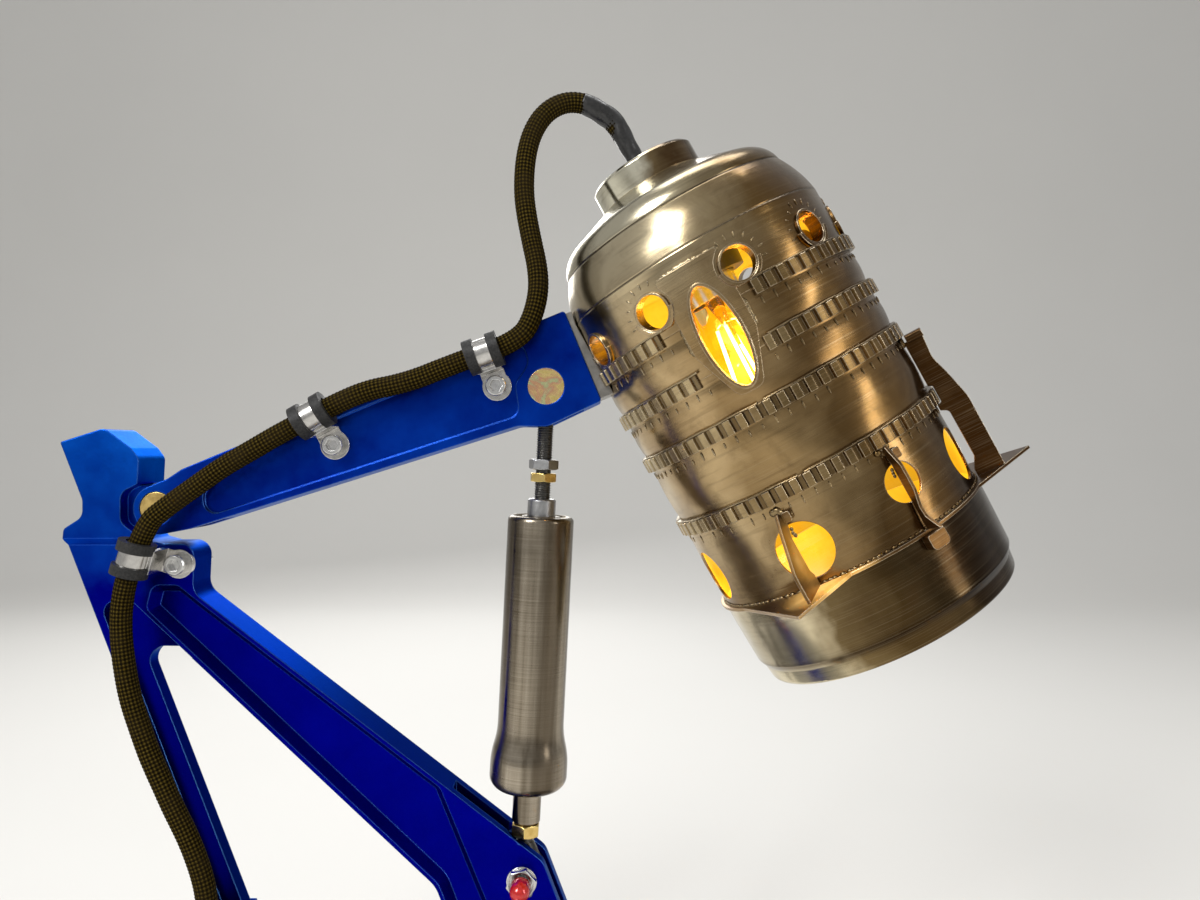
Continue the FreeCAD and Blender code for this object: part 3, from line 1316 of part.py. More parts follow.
def cord_tube(name, points, radius):
    edges, length = route_edges(points, name)
    path = Part.Wire(edges)
    start = Vector(*points[0])
    way = Vector(*points[1]) - start
    profile = Part.Wire([Part.makeCircle(radius, start, way)])
    tube = path.makePipeShell([profile], True, False)
    share = tube.Volume / (math.pi * radius ** 2 * length)
    print(name, "volume over section times length", round(share, 4))
    return tube


def exit_point(distance):
    """A point on the head's axis above the hub."""
    return (hub_top.x - distance * math.sin(head_angle), 0.0, hub_top.z + distance * math.cos(head_angle))


def clip_line(x, z, tab_angle, plane, along):
    """A point on the axis of a clip's loop, a distance along it from the loop's middle."""
    a = math.radians(tab_angle)
    return (x - clip_reach * math.cos(a) - along * math.sin(a), plane,
            z - clip_reach * math.sin(a) + along * math.cos(a))


def arm_clip_line(index, along):
    spot = arm_point(*arm_clip_screws[index])
    return clip_line(spot.x, spot.z, arm_clip_angles[index], cord_plane_arm, along)


def boss_clip_line(along):
    return clip_line(boss_x, boss_z, boss_clip_angle, cord_plane_frame, along)


def leg_clip_line(along):
    return clip_line(leg_clip_x, leg_clip_z, leg_clip_angle, cord_plane_frame, along)


ya = cord_plane_arm
yf = cord_plane_frame
elbow_start = head_run_end - elbow_gap
leg_start, leg_end = leg_run_ends
head_run = [exit_point(shrink_length), exit_point(25.5), (18.0, -2.0, 456.3), (2.6, -5.0, 446.0),
            (-2.4, -9.0, 422.0), (0.4, -12.5, 398.5), (5.6, -16.0, 377.5), (3.4, -19.2, 361.0),
            arm_clip_line(0, 15.0), arm_clip_line(0, -15.0), (-46.0, ya, 334.6), arm_clip_line(1, 19.0),
            arm_clip_line(1, head_run_end)]
elbow = [arm_clip_line(1, elbow_start), arm_clip_line(1, elbow_start - 12.0), (-119.5, ya - 0.5, 301.8),
         (-132.5, ya - 1.0, 292.6), (-143.0, ya - 1.5, 284.7), boss_clip_line(13.6),
         boss_clip_line(leg_start)]
leg_run = [boss_clip_line(leg_start), boss_clip_line(-16.2), (-162.4, yf, 234.0), (-159.9, yf, 214.0),
           (-154.0, yf, 193.0), (-144.6, yf, 171.0), (-135.2, yf, 152.0), (-127.4, yf, 131.0),
           leg_clip_line(15.5), leg_clip_line(leg_end)]
flex_tail = [leg_clip_line(leg_end - taper_length), leg_clip_line(leg_end - taper_length - 19.5),
             (-150.3, -14.4, 30.2), (-154.0, 0.3, 16.1), (switch_x, 19.5, cable_height),
             (switch_x, switch_from, cable_height)]


def taper(start, way, length, r_from, r_to):
    """The shrunk end of the woven sleeve, narrowing down to the flex."""
    cone = turned([(0, 0), (r_from, 0), (r_to, length * 0.7), (r_to, length), (0, length)])
    axis = Vector(*way).normalize()
    return put(cone, FreeCAD.Placement(Vector(*start), FreeCAD.Rotation(Vector(0, 0, 1), axis)))


def tangent_arc(start, way, end):
    """The arc that leaves start along a direction and reaches end, and its end direction."""
    chord = end - start
    lean = way.getAngle(chord)
    if lean < 0.0001:
        return Part.LineSegment(start, end).toShape(), way
    square = (chord - way * chord.dot(way)).normalize()
    radius = chord.Length / (2 * math.sin(lean))
    middle = start + way * (radius * math.sin(lean)) + square * (radius * (1 - math.cos(lean)))
    leaving = way * math.cos(2 * lean) + square * math.sin(2 * lean)
    return Part.Arc(start, middle, end).toShape(), leaving


def arc_pair(start, start_way, end, end_way):
    """Two arcs that join two points with given directions and meet smoothly between."""
    v = end - start
    t = start_way + end_way
    k = 2 * (1 - start_way.dot(end_way))
    if abs(k) < 0.000001:
        reach = v.dot(v) / (4 * v.dot(start_way))
    else:
        reach = (-v.dot(t) + math.sqrt(v.dot(t) ** 2 + k * v.dot(v))) / k
    joint = (start + end + (start_way - end_way) * reach) * 0.5
    first, way = tangent_arc(start, start_way, joint)
    second, last = tangent_arc(joint, way, end)
    return [first, second]


def coil_point(turn):
    """A point of the coil after a number of turns, in over the top layer and out below."""
    low = flex_radius
    high = flex_radius + coil_layer
    inner = coil_radius - coil_pitch * coil_turns_in
    if turn <= coil_turns_in:
        radius = coil_radius - coil_pitch * turn
        z = high
    elif turn <= coil_turns_in + 0.5:
        share = (turn - coil_turns_in) * 2
        radius = inner - coil_dip * math.sin(math.pi * share) ** 2
        z = high - coil_layer * (3 * share ** 2 - 2 * share ** 3)
    else:
        radius = inner + coil_pitch * (turn - coil_turns_in - 0.5)
        z = low
    angle = math.pi - 2 * math.pi * turn
    return Vector(coil_x + radius * math.cos(angle), coil_y + radius * math.sin(angle), z)


def coil_edges():
    last = coil_turns_in + 0.5 + coil_turns_out
    count = int(round(last * 8))
    turns = [last * i / count for i in range(count + 1)]
    spots = [coil_point(t) for t in turns]
    ways = [(coil_point(min(t + 0.02, last)) - coil_point(max(t - 0.02, 0.0))).normalize() for t in turns]
    ways[0] = Vector(0, 1, 0)
    ways[-1] = Vector(1, 0, 0)
    edges = []
    for i in range(count):
        edges += arc_pair(spots[i], ways[i], spots[i + 1], ways[i + 1])
    return edges


def least_gap(edges):
    """The least clear distance between parts of a tube that are far apart along it."""
    points = []
    along = 0.0
    for edge in edges:
        for point in edge.discretize(12)[:-1]:
            points.append((along + (point - edge.Vertexes[0].Point).Length, point))
        along += edge.Length
    least = 1000.0
    for i in range(len(points)):
        for j in range(i + 1, len(points)):
            if points[j][0] - points[i][0] > 40.0:
                least = min(least, (points[j][1] - points[i][1]).Length)
    return least - 2 * flex_radius


def build_flex_coil():
    exit_y = switch_from + switch_length
    start = coil_point(0.0)
    end = coil_point(coil_turns_in + 0.5 + coil_turns_out)
    lead_from = Vector(switch_x, exit_y, cable_height)
    straight = lead_from + Vector(0, 6.0, 0)
    edges = [Part.LineSegment(lead_from, straight).toShape()]
    edges += arc_pair(straight, Vector(0, 1, 0), start, Vector(0, 1, 0))
    edges += coil_edges()
    out = end + Vector(6.0, 0, 0)
    rise = Vector(plug_x - 7.0, end.y, plug_thickness / 2.0)
    edges.append(Part.LineSegment(end, out).toShape())
    edges += arc_pair(out, Vector(1, 0, 0), rise, Vector(1, 0, 0))
    edges.append(Part.LineSegment(rise, rise + Vector(7.0 + plug_grip, 0, 0)).toShape())
    path = Part.Wire(edges)
    length = sum(edge.Length for edge in edges)
    profile = Part.Wire([Part.makeCircle(flex_radius, lead_from, Vector(0, 1, 0))])
    tube = path.makePipeShell([profile], True, False)
    radii = [edge.Curve.Radius for edge in edges if hasattr(edge.Curve, "Radius")]
    print("flex_coil length", round(length, 1), "tightest radius", round(min(radii), 1),
          "least gap", round(least_gap(edges), 2),
          "volume share", round(tube.Volume / (math.pi * flex_radius ** 2 * length), 4))
    save("flex_coil", tube)


def build_switch_and_plug():
    x = switch_x
    z = cable_height
    y_from = switch_from
    split = 0.6 * switch_height
    w = switch_width / 2.0
    lower = Part.makeBox(switch_width, switch_length, split, Vector(x - w, y_from, 0))
    lower = lower.makeFillet(6.0, [e for e in lower.Edges if abs(e.tangentAt(e.FirstParameter).z) > 0.9])
    upper = Part.makeBox(switch_width, switch_length, switch_height - split, Vector(x - w, y_from, split))
    upper = upper.makeFillet(6.0, [e for e in upper.Edges if abs(e.tangentAt(e.FirstParameter).z) > 0.9])
    hollow_lower = Part.makeBox(switch_width - 4, switch_length - 16, split - 1.6, Vector(x - w + 2, y_from + 8, 1.6))
    hollow_upper = Part.makeBox(switch_width - 4, switch_length - 16, switch_height - split - 1.8,
                                Vector(x - w + 2, y_from + 8, split))
    passage = y_rod(flex_radius, x, z, y_from - 1, y_from + 7.0)
    passage = passage.fuse(y_rod(flex_radius, x, z, y_from + switch_length - 7.0, y_from + switch_length + 1))
    middle = y_from + switch_length / 2.0
    window = Part.makeBox(rocker_width + 0.6, rocker_length + 0.6, 10,
                          Vector(x - rocker_width / 2.0 - 0.3, middle - rocker_length / 2.0 - 0.3, switch_height - 4))
    top_edges = [e for e in upper.Edges if abs(e.CenterOfMass.z - switch_height) < 0.01]
    upper = upper.makeChamfer(1.2, top_edges)
    upper = upper.cut(hollow_upper).cut(passage).cut(window)
    low = switch_height - 3.2
    cheek_from = rocker_width / 2.0 + 0.3
    for side in (-1, 1):
        start = min(side * cheek_from, side * (cheek_from + 2.0))
        cheek = Part.makeBox(2.0, 6.0, 5.0, Vector(x + start, middle - 3.0, switch_height - 6.5))
        upper = upper.fuse(cheek)
    across = Vector(1, 0, 0)
    upper = upper.cut(rod(1.5 + running_gap, Vector(x - 20, middle, low), across, 40))
    save("switch_shells", lower.cut(hollow_lower).cut(passage), upper.removeSplitter())
    half_length = rocker_length / 2.0
    tip = switch_height + 1.9
    profile = [(-half_length, low - 0.3, 0.0), (-half_length + 0.6, tip, 0.6), (0.0, tip - 1.6, 12.0),
               (half_length - 0.6, tip, 0.6), (half_length, low - 0.3, 0.0)]
    body = slab(profile, -rocker_width / 2.0, rocker_width / 2.0)
    body.translate(Vector(0, 0, -low))
    body = body.fuse(y_rod(1.5, 0, 0, -cheek_from - 1.4, cheek_from + 1.4))
    body.rotate(Vector(0, 0, 0), Vector(0, 1, 0), rocker_angle / 2.0)
    place = axes_at(Vector(x, middle, low), Vector(0, 1, 0), Vector(-1, 0, 0), Vector(0, 0, 1))
    save("switch_rocker", put(body, place))
    end_y = coil_point(coil_turns_in + 0.5 + coil_turns_out).y
    t = plug_thickness
    grip = slab([(plug_x, 0.0, 3.0), (plug_x + plug_length, 0.0, 1.5), (plug_x + plug_length, t, 1.5),
                 (plug_x, t, 3.0)], -plug_width / 2.0, plug_width / 2.0)
    shoulder = [(plug_x - 1, -60), (plug_x + 22.0, -60), (plug_x + 22.0, -plug_width / 2.0), (plug_x - 1, -9.0)]
    for side in (-1, 1):
        ring = [Vector(a, side * b, -1) for a, b in shoulder]
        grip = grip.cut(Part.Face(Part.makePolygon(ring + [ring[0]])).extrude(Vector(0, 0, t + 2)))
    grip = grip.cut(rod(flex_radius, Vector(plug_x - 1, 0, t / 2.0), Vector(1, 0, 0), plug_grip + 1))
    pins = []
    for side in (-1, 1):
        start = Vector(plug_x + plug_length - 8.0, side * plug_pin_pitch / 2.0, t / 2.0)
        pin = rod(plug_pin_radius, start, Vector(1, 0, 0), plug_pin_length + 6.0)
        tip = Part.makeSphere(plug_pin_radius, start + Vector(plug_pin_length + 6.0, 0, 0))
        grip = grip.cut(rod(plug_pin_radius, start, Vector(1, 0, 0), 20.0))
        pins.append(pin.fuse(tip).removeSplitter())
    lift = Vector(0, end_y, 0)
    shapes = [grip] + pins
    for shape in shapes:
        shape.translate(lift)
    save("mains_plug", grip)
    save("plug_pins", *pins)


def build_cord():
    save("cord_head_run", cord_tube("cord_head_run", head_run, sleeve_radius))
    save("cord_elbow", cord_tube("cord_elbow", elbow, sleeve_radius))
    save("cord_leg_run", cord_tube("cord_leg_run", leg_run, sleeve_radius))
    way = Vector(*leg_run[-1]) - Vector(*leg_run[-2])
    save("cord_sleeve_end", taper(leg_run[-1], (way.x, way.y, way.z), taper_length, sleeve_radius, flex_radius + 0.6))
    save("flex_tail", cord_tube("flex_tail", flex_tail, flex_radius))
    shrink = turned([(0, -shrink_length), (sleeve_radius - 0.1, -shrink_length), (shrink_radius, -4.0),
                     (shrink_radius, shrink_into_hub), (0, shrink_into_hub)])
    for side in (-1, 1):
        shrink = shrink.cut(rod(1.0, Vector(side * 2.0, 0, 3.5), Vector(0, 0, 1), 10))
    head_save("cord_shrink_sleeve", shrink)


for_order = (build_base, build_bracket, build_arm, build_arm_pivot, build_upper_pin, build_release_pin,
             build_strut, build_shell, build_strips, build_ports, build_flange, build_gussets, build_saddle,
             build_lamp, build_clips, build_cord, build_flex_coil, build_switch_and_plug)
for step in for_order:
    step()
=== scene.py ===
import math
import random

import bmesh
import bpy
from mathutils import Matrix, Vector


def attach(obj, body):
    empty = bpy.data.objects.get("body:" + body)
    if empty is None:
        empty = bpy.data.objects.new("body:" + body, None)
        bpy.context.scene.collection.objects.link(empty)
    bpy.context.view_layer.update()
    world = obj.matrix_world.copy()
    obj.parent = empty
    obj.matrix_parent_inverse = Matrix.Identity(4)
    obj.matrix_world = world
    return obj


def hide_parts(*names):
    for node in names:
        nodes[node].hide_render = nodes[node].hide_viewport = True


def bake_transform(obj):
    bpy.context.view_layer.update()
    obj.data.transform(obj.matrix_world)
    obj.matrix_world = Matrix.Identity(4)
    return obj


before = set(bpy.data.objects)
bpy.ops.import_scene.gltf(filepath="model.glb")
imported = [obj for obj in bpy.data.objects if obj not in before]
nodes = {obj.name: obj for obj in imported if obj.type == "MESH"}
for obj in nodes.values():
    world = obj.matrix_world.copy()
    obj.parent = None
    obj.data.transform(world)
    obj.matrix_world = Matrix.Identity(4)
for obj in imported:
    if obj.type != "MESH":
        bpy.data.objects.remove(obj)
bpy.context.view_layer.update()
scene = bpy.context.scene
random.seed(11)

ARM = "arm_and_head"
STAND = "stand"

# Camera: the photograph's own place and lens, looking level across the lamp
IMAGE_WIDTH = 1200
FOCAL_PIXELS = 902.0
SENSOR = 36.0
CAMERA_PLACE = (0.03, -0.384, 0.307)
camera_data = bpy.data.cameras.new("camera")
camera_data.sensor_width = SENSOR
camera_data.lens = FOCAL_PIXELS / IMAGE_WIDTH * SENSOR
camera = bpy.data.objects.new("camera", camera_data)
camera.location = CAMERA_PLACE
camera.rotation_euler = (math.radians(90), 0, 0)
scene.collection.objects.link(camera)
scene.camera = camera

# The head's own frame: Z runs down its axis from the top of its hub
HUB_TOP = Vector((0.0474393, 0, 0.4265878))
HEAD_TILT = math.radians(29)
HEAD_X = Vector((math.cos(HEAD_TILT), 0, math.sin(HEAD_TILT)))
HEAD_Y = Vector((0, -1, 0))
HEAD_Z = Vector((math.sin(HEAD_TILT), 0, -math.cos(HEAD_TILT)))
HEAD_TURN = Matrix((HEAD_X, HEAD_Y, HEAD_Z)).transposed().to_euler()
HEAD_LENGTH = 220.0

# The strut's axis, from the pin in the arm down to the pin in the bracket, in mm
STRUT_TOP = Vector((7.6827, 0, 333.3785))
STRUT_FOOT = Vector((-2.6, 0, 127.6))
STRUT_WAY = (STRUT_FOOT - STRUT_TOP).normalized()
ACROSS = Vector((0, 1, 0))


def head_point(radius, degrees, station):
    """A point of the head by its distance from the axis, angle and distance down, in mm."""
    a = math.radians(degrees)
    across = HEAD_X * (radius * math.cos(a)) + HEAD_Y * (radius * math.sin(a))
    return HUB_TOP + (across + HEAD_Z * station) / 1000


# ---- Node helpers
class Paint:
    """A material with a Principled shader, and short names for the nodes it is made of."""

    def __init__(self, name, **inputs):
        self.material = bpy.data.materials.new(name)
        self.material.use_nodes = True
        self.tree = self.material.node_tree
        self.shader = self.tree.nodes["Principled BSDF"]
        for key, value in inputs.items():
            self.shader.inputs[key.replace("_", " ")].default_value = value

    def new(self, kind, inputs=(), **settings):
        """A node with its settings, and its inputs linked or set by their name or number."""
        made = self.tree.nodes.new(kind)
        for key, value in settings.items():
            setattr(made, key, value)
        for key, value in dict(inputs).items():
            if isinstance(value, bpy.types.NodeSocket):
                self.tree.links.new(value, made.inputs[key])
            else:
                made.inputs[key].default_value = value
        return made

    def plug(self, source, name):
        self.tree.links.new(source, self.shader.inputs[name])

    def coords(self):
        return self.new("ShaderNodeTexCoord").outputs["Object"]

    def mapped(self, source, location=(0, 0, 0), rotation=(0, 0, 0), scale=(1, 1, 1), kind="POINT"):
        inputs = {"Vector": source, "Location": location, "Rotation": rotation, "Scale": scale}
        return self.new("ShaderNodeMapping", inputs, vector_type=kind).outputs["Vector"]

    def noise(self, source, scale, detail=3.0, rough=0.5, warp=0.0):
        inputs = {"Vector": source, "Scale": scale, "Detail": detail, "Roughness": rough,
                  "Distortion": warp}
        return self.new("ShaderNodeTexNoise", inputs).outputs["Fac"]

    def ramp(self, source, stops):
        """Colours or plain values through a ramp, from (place, colour or value) pairs."""
        made = self.new("ShaderNodeValToRGB", {"Fac": source})
        band = made.color_ramp
        band.elements.remove(band.elements[1])
        band.elements[0].position = stops[0][0]
        for index, (place, colour) in enumerate(stops):
            element = band.elements.new(place) if index else band.elements[0]
            if isinstance(colour, (int, float)):
                colour = (colour, colour, colour)
            element.color = (*colour, 1.0)
        return made.outputs["Color"]

    def between(self, source, low, high):
        return self.ramp(source, [(0.3, low), (0.7, high)])

    def mix(self, share, first, second, blend="MIX"):
        first, second = ((*c, 1.0) if isinstance(c, tuple) else c for c in (first, second))
        inputs = {0: share, 6: first, 7: second}
        return self.new("ShaderNodeMix", inputs, data_type="RGBA", blend_type=blend).outputs[2]

    def math(self, operation, *values, clamp=False):
        return self.new("ShaderNodeMath", enumerate(values), operation=operation,
                        use_clamp=clamp).outputs[0]

    def plus(self, *values, **clamp):
        return self.math("ADD", *values, **clamp)

    def minus(self, *values, **clamp):
        return self.math("SUBTRACT", *values, **clamp)

    def times(self, *values, **clamp):
        return self.math("MULTIPLY", *values, **clamp)

    def falloff(self, value, centre, sharpness):
        """1 where the value is at the centre, and less the further it is from it."""
        away = self.times(self.minus(value, centre), sharpness)
        return self.math("DIVIDE", 1.0, self.plus(1.0, self.times(away, away)))

    def vectors(self, operation, first, second):
        """A sum of two vectors: its outputs are a vector and a value."""
        return self.new("ShaderNodeVectorMath", {0: first, 1: second}, operation=operation).outputs

    def split(self, source):
        return self.new("ShaderNodeSeparateXYZ", {0: source}).outputs

    def bump(self, height, strength, distance, normal=None):
        inputs = {"Height": height, "Strength": strength, "Distance": distance}
        if normal is not None:
            inputs["Normal"] = normal
        return self.new("ShaderNodeBump", inputs).outputs["Normal"]

    def normal(self):
        return self.new("ShaderNodeNewGeometry").outputs["Normal"]

    def edges(self, radius):
        """How near a sharp edge is, 0 on the faces, and the rounded normal that shows it."""
        rounded = self.new("ShaderNodeBevel", {"Radius": radius}, samples=6).outputs["Normal"]
        dot = self.vectors("DOT_PRODUCT", rounded, self.normal())
        return self.minus(1.0, dot["Value"], clamp=True), rounded


def head_coords(paint):
    """Coordinates in the head's frame, with Z down its axis, in metres."""
    return paint.mapped(paint.coords(), location=HUB_TOP, rotation=HEAD_TURN, kind="TEXTURE")


def dress(names, paint):
    """Give the CAD nodes with these names a material."""
    for name in names.split():
        nodes[name].data.materials.clear()
        nodes[name].data.materials.append(paint.material)


def bridge(build, rows, closed=True):
    """Faces between each row of vertices and the next, where both are there."""
    made = []
    for one, two in zip(rows, rows[1:]):
        if one and two:
            for j in range(len(one) if closed else len(one) - 1):
                k = (j + 1) % len(one)
                made.append(build.faces.new((one[j], one[k], two[k], two[j])))
    return made


def mesh_of(build, name, turn=True):
    """The mesh that was built, with its faces turned outwards unless they are so already."""
    if turn:
        bmesh.ops.recalc_face_normals(build, faces=build.faces)
    mesh = bpy.data.meshes.new(name)
    build.to_mesh(mesh)
    build.free()
    return mesh


def mesh_piece(name, mesh, paint, body=None, smooth=True):
    """An object for a mesh, with its material, and its body if it is given."""
    made = bpy.data.objects.new(name, mesh)
    scene.collection.objects.link(made)
    if smooth:
        for face in mesh.polygons:
            face.use_smooth = True
    mesh.materials.append(paint.material)
    if body:
        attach(made, body)
    return made


# ---- Cords
def spline_data(name, points, steps):
    """A NURBS curve with control points in mm."""
    data = bpy.data.curves.new(name, "CURVE")
    data.dimensions = "3D"
    data.resolution_u = steps
    spline = data.splines.new("NURBS")
    spline.points.add(len(points) - 1)
    for spot, point in zip(spline.points, points):
        spot.co = (point[0] / 1000, point[1] / 1000, point[2] / 1000, 1.0)
    spline.order_u = 3
    spline.use_endpoint_u = True
    return data


def spline_path(points, steps=24):
    """Points along the NURBS curve of these control points, in metres."""
    data = spline_data("path", points, steps)
    made = bpy.data.objects.new("path", data)
    scene.collection.objects.link(made)
    mesh = bpy.data.meshes.new_from_object(made)
    line = [v.co.copy() for v in mesh.vertices]
    bpy.data.objects.remove(made)
    bpy.data.curves.remove(data)
    bpy.data.meshes.remove(mesh)
    return line


def spaced(line, step):
    """The same line with points an even distance apart."""
    total = sum((b - a).length for a, b in zip(line, line[1:]))
    count = max(2, int(round(total / step)))
    made = []
    along = 0.0
    index = 0
    for target in (total * i / count for i in range(count + 1)):
        while index < len(line) - 2 and along + (line[index + 1] - line[index]).length < target:
            along += (line[index + 1] - line[index]).length
            index += 1
        run = (line[index + 1] - line[index]).length
        share = min(1.0, (target - along) / run) if run else 0.0
        made.append(line[index].lerp(line[index + 1], share))
    return made, total


def frames_along(line):
    """A side vector at each point that turns as little as it can."""
    ways = [(line[min(i + 1, len(line) - 1)] - line[max(i - 1, 0)]).normalized()
            for i in range(len(line))]
    side = ways[0].orthogonal().normalized()
    made = []
    for way in ways:
        side = (side - way * side.dot(way)).normalized()
        made.append((side.copy(), way.cross(side)))
    return made


def sweep(name, line, shape, around, start=0.0):
    """A tube mesh along a line. shape(along, share) gives its radius in metres, and its UVs
    are the distance along in metres and the share of the way round."""
    build = bmesh.new()
    uv = build.loops.layers.uv.new("along")
    rings = []
    distances = []
    along = start
    for before, point, (side, up) in zip(line[:1] + line, line, frames_along(line)):
        along += (point - before).length
        distances.append(along)
        ring = []
        for j in range(around):
            angle = 2 * math.pi * j / around
            radius = shape(along, j / around)
            out = side * math.cos(angle) + up * math.sin(angle)
            ring.append(build.verts.new(point + out * radius))
        rings.append(ring)
    for number, face in enumerate(bridge(build, rings)):
        i, j = divmod(number, around)
        spots = ((i, j), (i, j + 1), (i + 1, j + 1), (i + 1, j))
        for loop, (a, b) in zip(face.loops, spots):
            loop[uv].uv = (distances[a], b / around)
    build.faces.new(list(reversed(rings[0])))
    build.faces.new(rings[-1])
    return mesh_of(build, name)


# The woven sleeve, in metres: its radius, its weave, and the steps of its mesh
SLEEVE = 0.0043
WEAVE_ROUND = 9
WEAVE_PITCH = 0.0031
WEAVE_DEPTH = 0.00022
WEAVE_STEP = 0.00045
WEAVE_SIDES = 72


def woven(along, share):
    """The radius of the woven sleeve: small crowns where its strands cross, and a slow ripple."""
    crown = math.cos(4 * math.pi * WEAVE_ROUND * share)
    crown -= math.cos(4 * math.pi * along / WEAVE_PITCH)
    ripple = 0.00012 * math.sin(along * 190 + 1.7) * math.sin(2 * math.pi * share + along * 60)
    return SLEEVE - WEAVE_DEPTH + WEAVE_DEPTH * 0.5 * crown + ripple


def braid_paint():
    """Coarse olive brown strands, with painted shade dark between them and a painted highlight on
    their crowns, and worn greyer in patches.
    """
    paint = Paint("woven_sleeve", Roughness=0.85, Specular_IOR_Level=0.04)
    where = paint.split(paint.new("ShaderNodeUVMap", uv_map="along").outputs["UV"])
    along = paint.times(where[0], 2 * math.pi / WEAVE_PITCH)
    share = paint.times(where[1], 2 * math.pi * WEAVE_ROUND)
    first = paint.math("SINE", paint.plus(share, along))
    second = paint.math("SINE", paint.minus(share, along))
    crown = paint.times(first, second)
    strands = paint.math("SINE", paint.times(paint.plus(share, along), 3.0))
    fine = paint.noise(paint.coords(), 1500, 2)
    patchy = paint.noise(paint.coords(), 90, 3)
    level = paint.plus(paint.times(crown, 0.4), 0.48)
    level = paint.plus(level, paint.times(paint.minus(fine, 0.5), 0.35))
    level = paint.plus(level, paint.times(strands, 0.05))
    # painted highlight on the crowns of the strands and painted shade in the gaps between them
    tint = paint.ramp(level, [(0.1, (0.0015, 0.001, 0.0005)), (0.42, (0.01, 0.0065, 0.0008)),
                              (0.72, (0.046, 0.031, 0.0045)), (1.0, (0.12, 0.086, 0.018))])
    worn = paint.mix(paint.ramp(patchy, [(0.42, 0.0), (0.75, 0.55)]), tint, (0.022, 0.015, 0.006))
    paint.plug(worn, "Base Color")
    paint.plug(paint.bump(level, 0.55, 0.0004), "Normal")
    return paint


braid = braid_paint()
head_run_points = [(39.68, 0.0, 440.58), (35.08, 0.0, 448.89), (18.0, -2.0, 456.3),
                   (2.6, -5.0, 446.0), (-2.4, -9.0, 422.0), (0.4, -12.5, 398.5),
                   (5.6, -16.0, 377.5), (3.4, -19.2, 361.0), (-2.87, -20.3, 350.97),
                   (-31.15, -20.3, 340.96), (-46.0, -20.3, 334.6), (-69.61, -20.3, 330.06),
                   (-93.54, -20.3, 316.52)]
elbow_points = [(-93.54, -20.3, 316.52), (-104.25, -20.3, 310.47), (-119.5, -20.8, 301.8),
                (-132.5, -21.3, 292.6), (-143.0, -21.8, 284.7), (-153.53, -22.3, 276.57),
                (-159.62, -22.3, 255.32)]
leg_run_points = [(-159.62, -22.3, 255.32), (-161.75, -22.3, 247.92), (-162.4, -22.3, 234.0),
                  (-159.9, -22.3, 214.0), (-154.0, -22.3, 193.0), (-144.6, -22.3, 171.0),
                  (-135.2, -22.3, 152.0), (-127.4, -22.3, 131.0), (-128.13, -22.3, 114.11),
                  (-134.26, -22.3, 90.9)]
woven_start = 0.0
woven_lines = {}
for name, points, body, cad in (("woven_head_run", head_run_points, ARM, "cord_head_run"),
                                ("woven_elbow", elbow_points, None, "cord_elbow"),
                                ("woven_leg_run", leg_run_points, STAND, "cord_leg_run")):
    line, length = spaced(spline_path(points), WEAVE_STEP)
    mesh = sweep(name, line, woven, WEAVE_SIDES, start=woven_start)
    woven_start += length
    piece = mesh_piece(name, mesh, braid, body)
    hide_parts(cad)
    woven_lines[name] = (piece, line, length)
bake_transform(woven_lines["woven_elbow"][0])

# The mains flex: a coil of two layers behind the base, with its sizes in mm and in turns
COIL_CENTRE = (-114.0, 138.0)
COIL_RADIUS = 46.0
COIL_PITCH = 7.8
COIL_IN = 2.0
COIL_DROP = 0.5
COIL_OUT = 1.75
COIL_HIGH = 11.0
COIL_LOW = 3.5
COIL_STEPS = 16
COIL_PINCH = 1.6


def coil_point(turn):
    """A control point of the coil: in over the top layer, down, and out underneath."""
    inner = COIL_RADIUS - COIL_PITCH * COIL_IN
    if turn <= COIL_IN:
        radius = COIL_RADIUS - COIL_PITCH * turn
        height = COIL_HIGH
    elif turn <= COIL_IN + COIL_DROP:
        share = (turn - COIL_IN) / COIL_DROP
        radius = inner - COIL_PINCH * math.sin(math.pi * share) ** 2
        height = COIL_HIGH + (COIL_LOW - COIL_HIGH) * (3 * share ** 2 - 2 * share ** 3)
    else:
        radius = inner + COIL_PITCH * (turn - COIL_IN - COIL_DROP)
        height = COIL_LOW
    radius /= math.cos(math.pi / COIL_STEPS)
    angle = math.pi - 2 * math.pi * turn
    return (COIL_CENTRE[0] + radius * math.cos(angle), COIL_CENTRE[1] + radius * math.sin(angle),
            height)


# The flex runs straight along SWITCH_X through the switch, at the height SWITCH_Z
SWITCH_X = -156.0
SWITCH_Z = 8.5
flex_points = [(-140.91, -22.3, 65.77), (-145.89, -22.3, 46.91), (-150.3, -14.4, 30.2),
               (-154.0, 0.3, 16.1), (SWITCH_X, 19.5, SWITCH_Z), (SWITCH_X, 40.0, SWITCH_Z),
               (SWITCH_X, 69.0, SWITCH_Z), (SWITCH_X, 98.0, SWITCH_Z), (SWITCH_X, 106.0, SWITCH_Z),
               (-156.6, 114.0, 8.8), (-159.2, 124.0, 10.6)]
last_turn = COIL_IN + COIL_DROP + COIL_OUT
flex_points += [coil_point((i + 0.5) / COIL_STEPS) for i in range(int(last_turn * COIL_STEPS))]
flex_points += [(-112.0, 182.05, 3.5), (-104.0, 182.05, 3.5), (-90.0, 182.05, 4.2),
                (-76.0, 182.05, 6.4), (-66.0, 182.05, 6.75), (-52.0, 182.05, 6.75)]


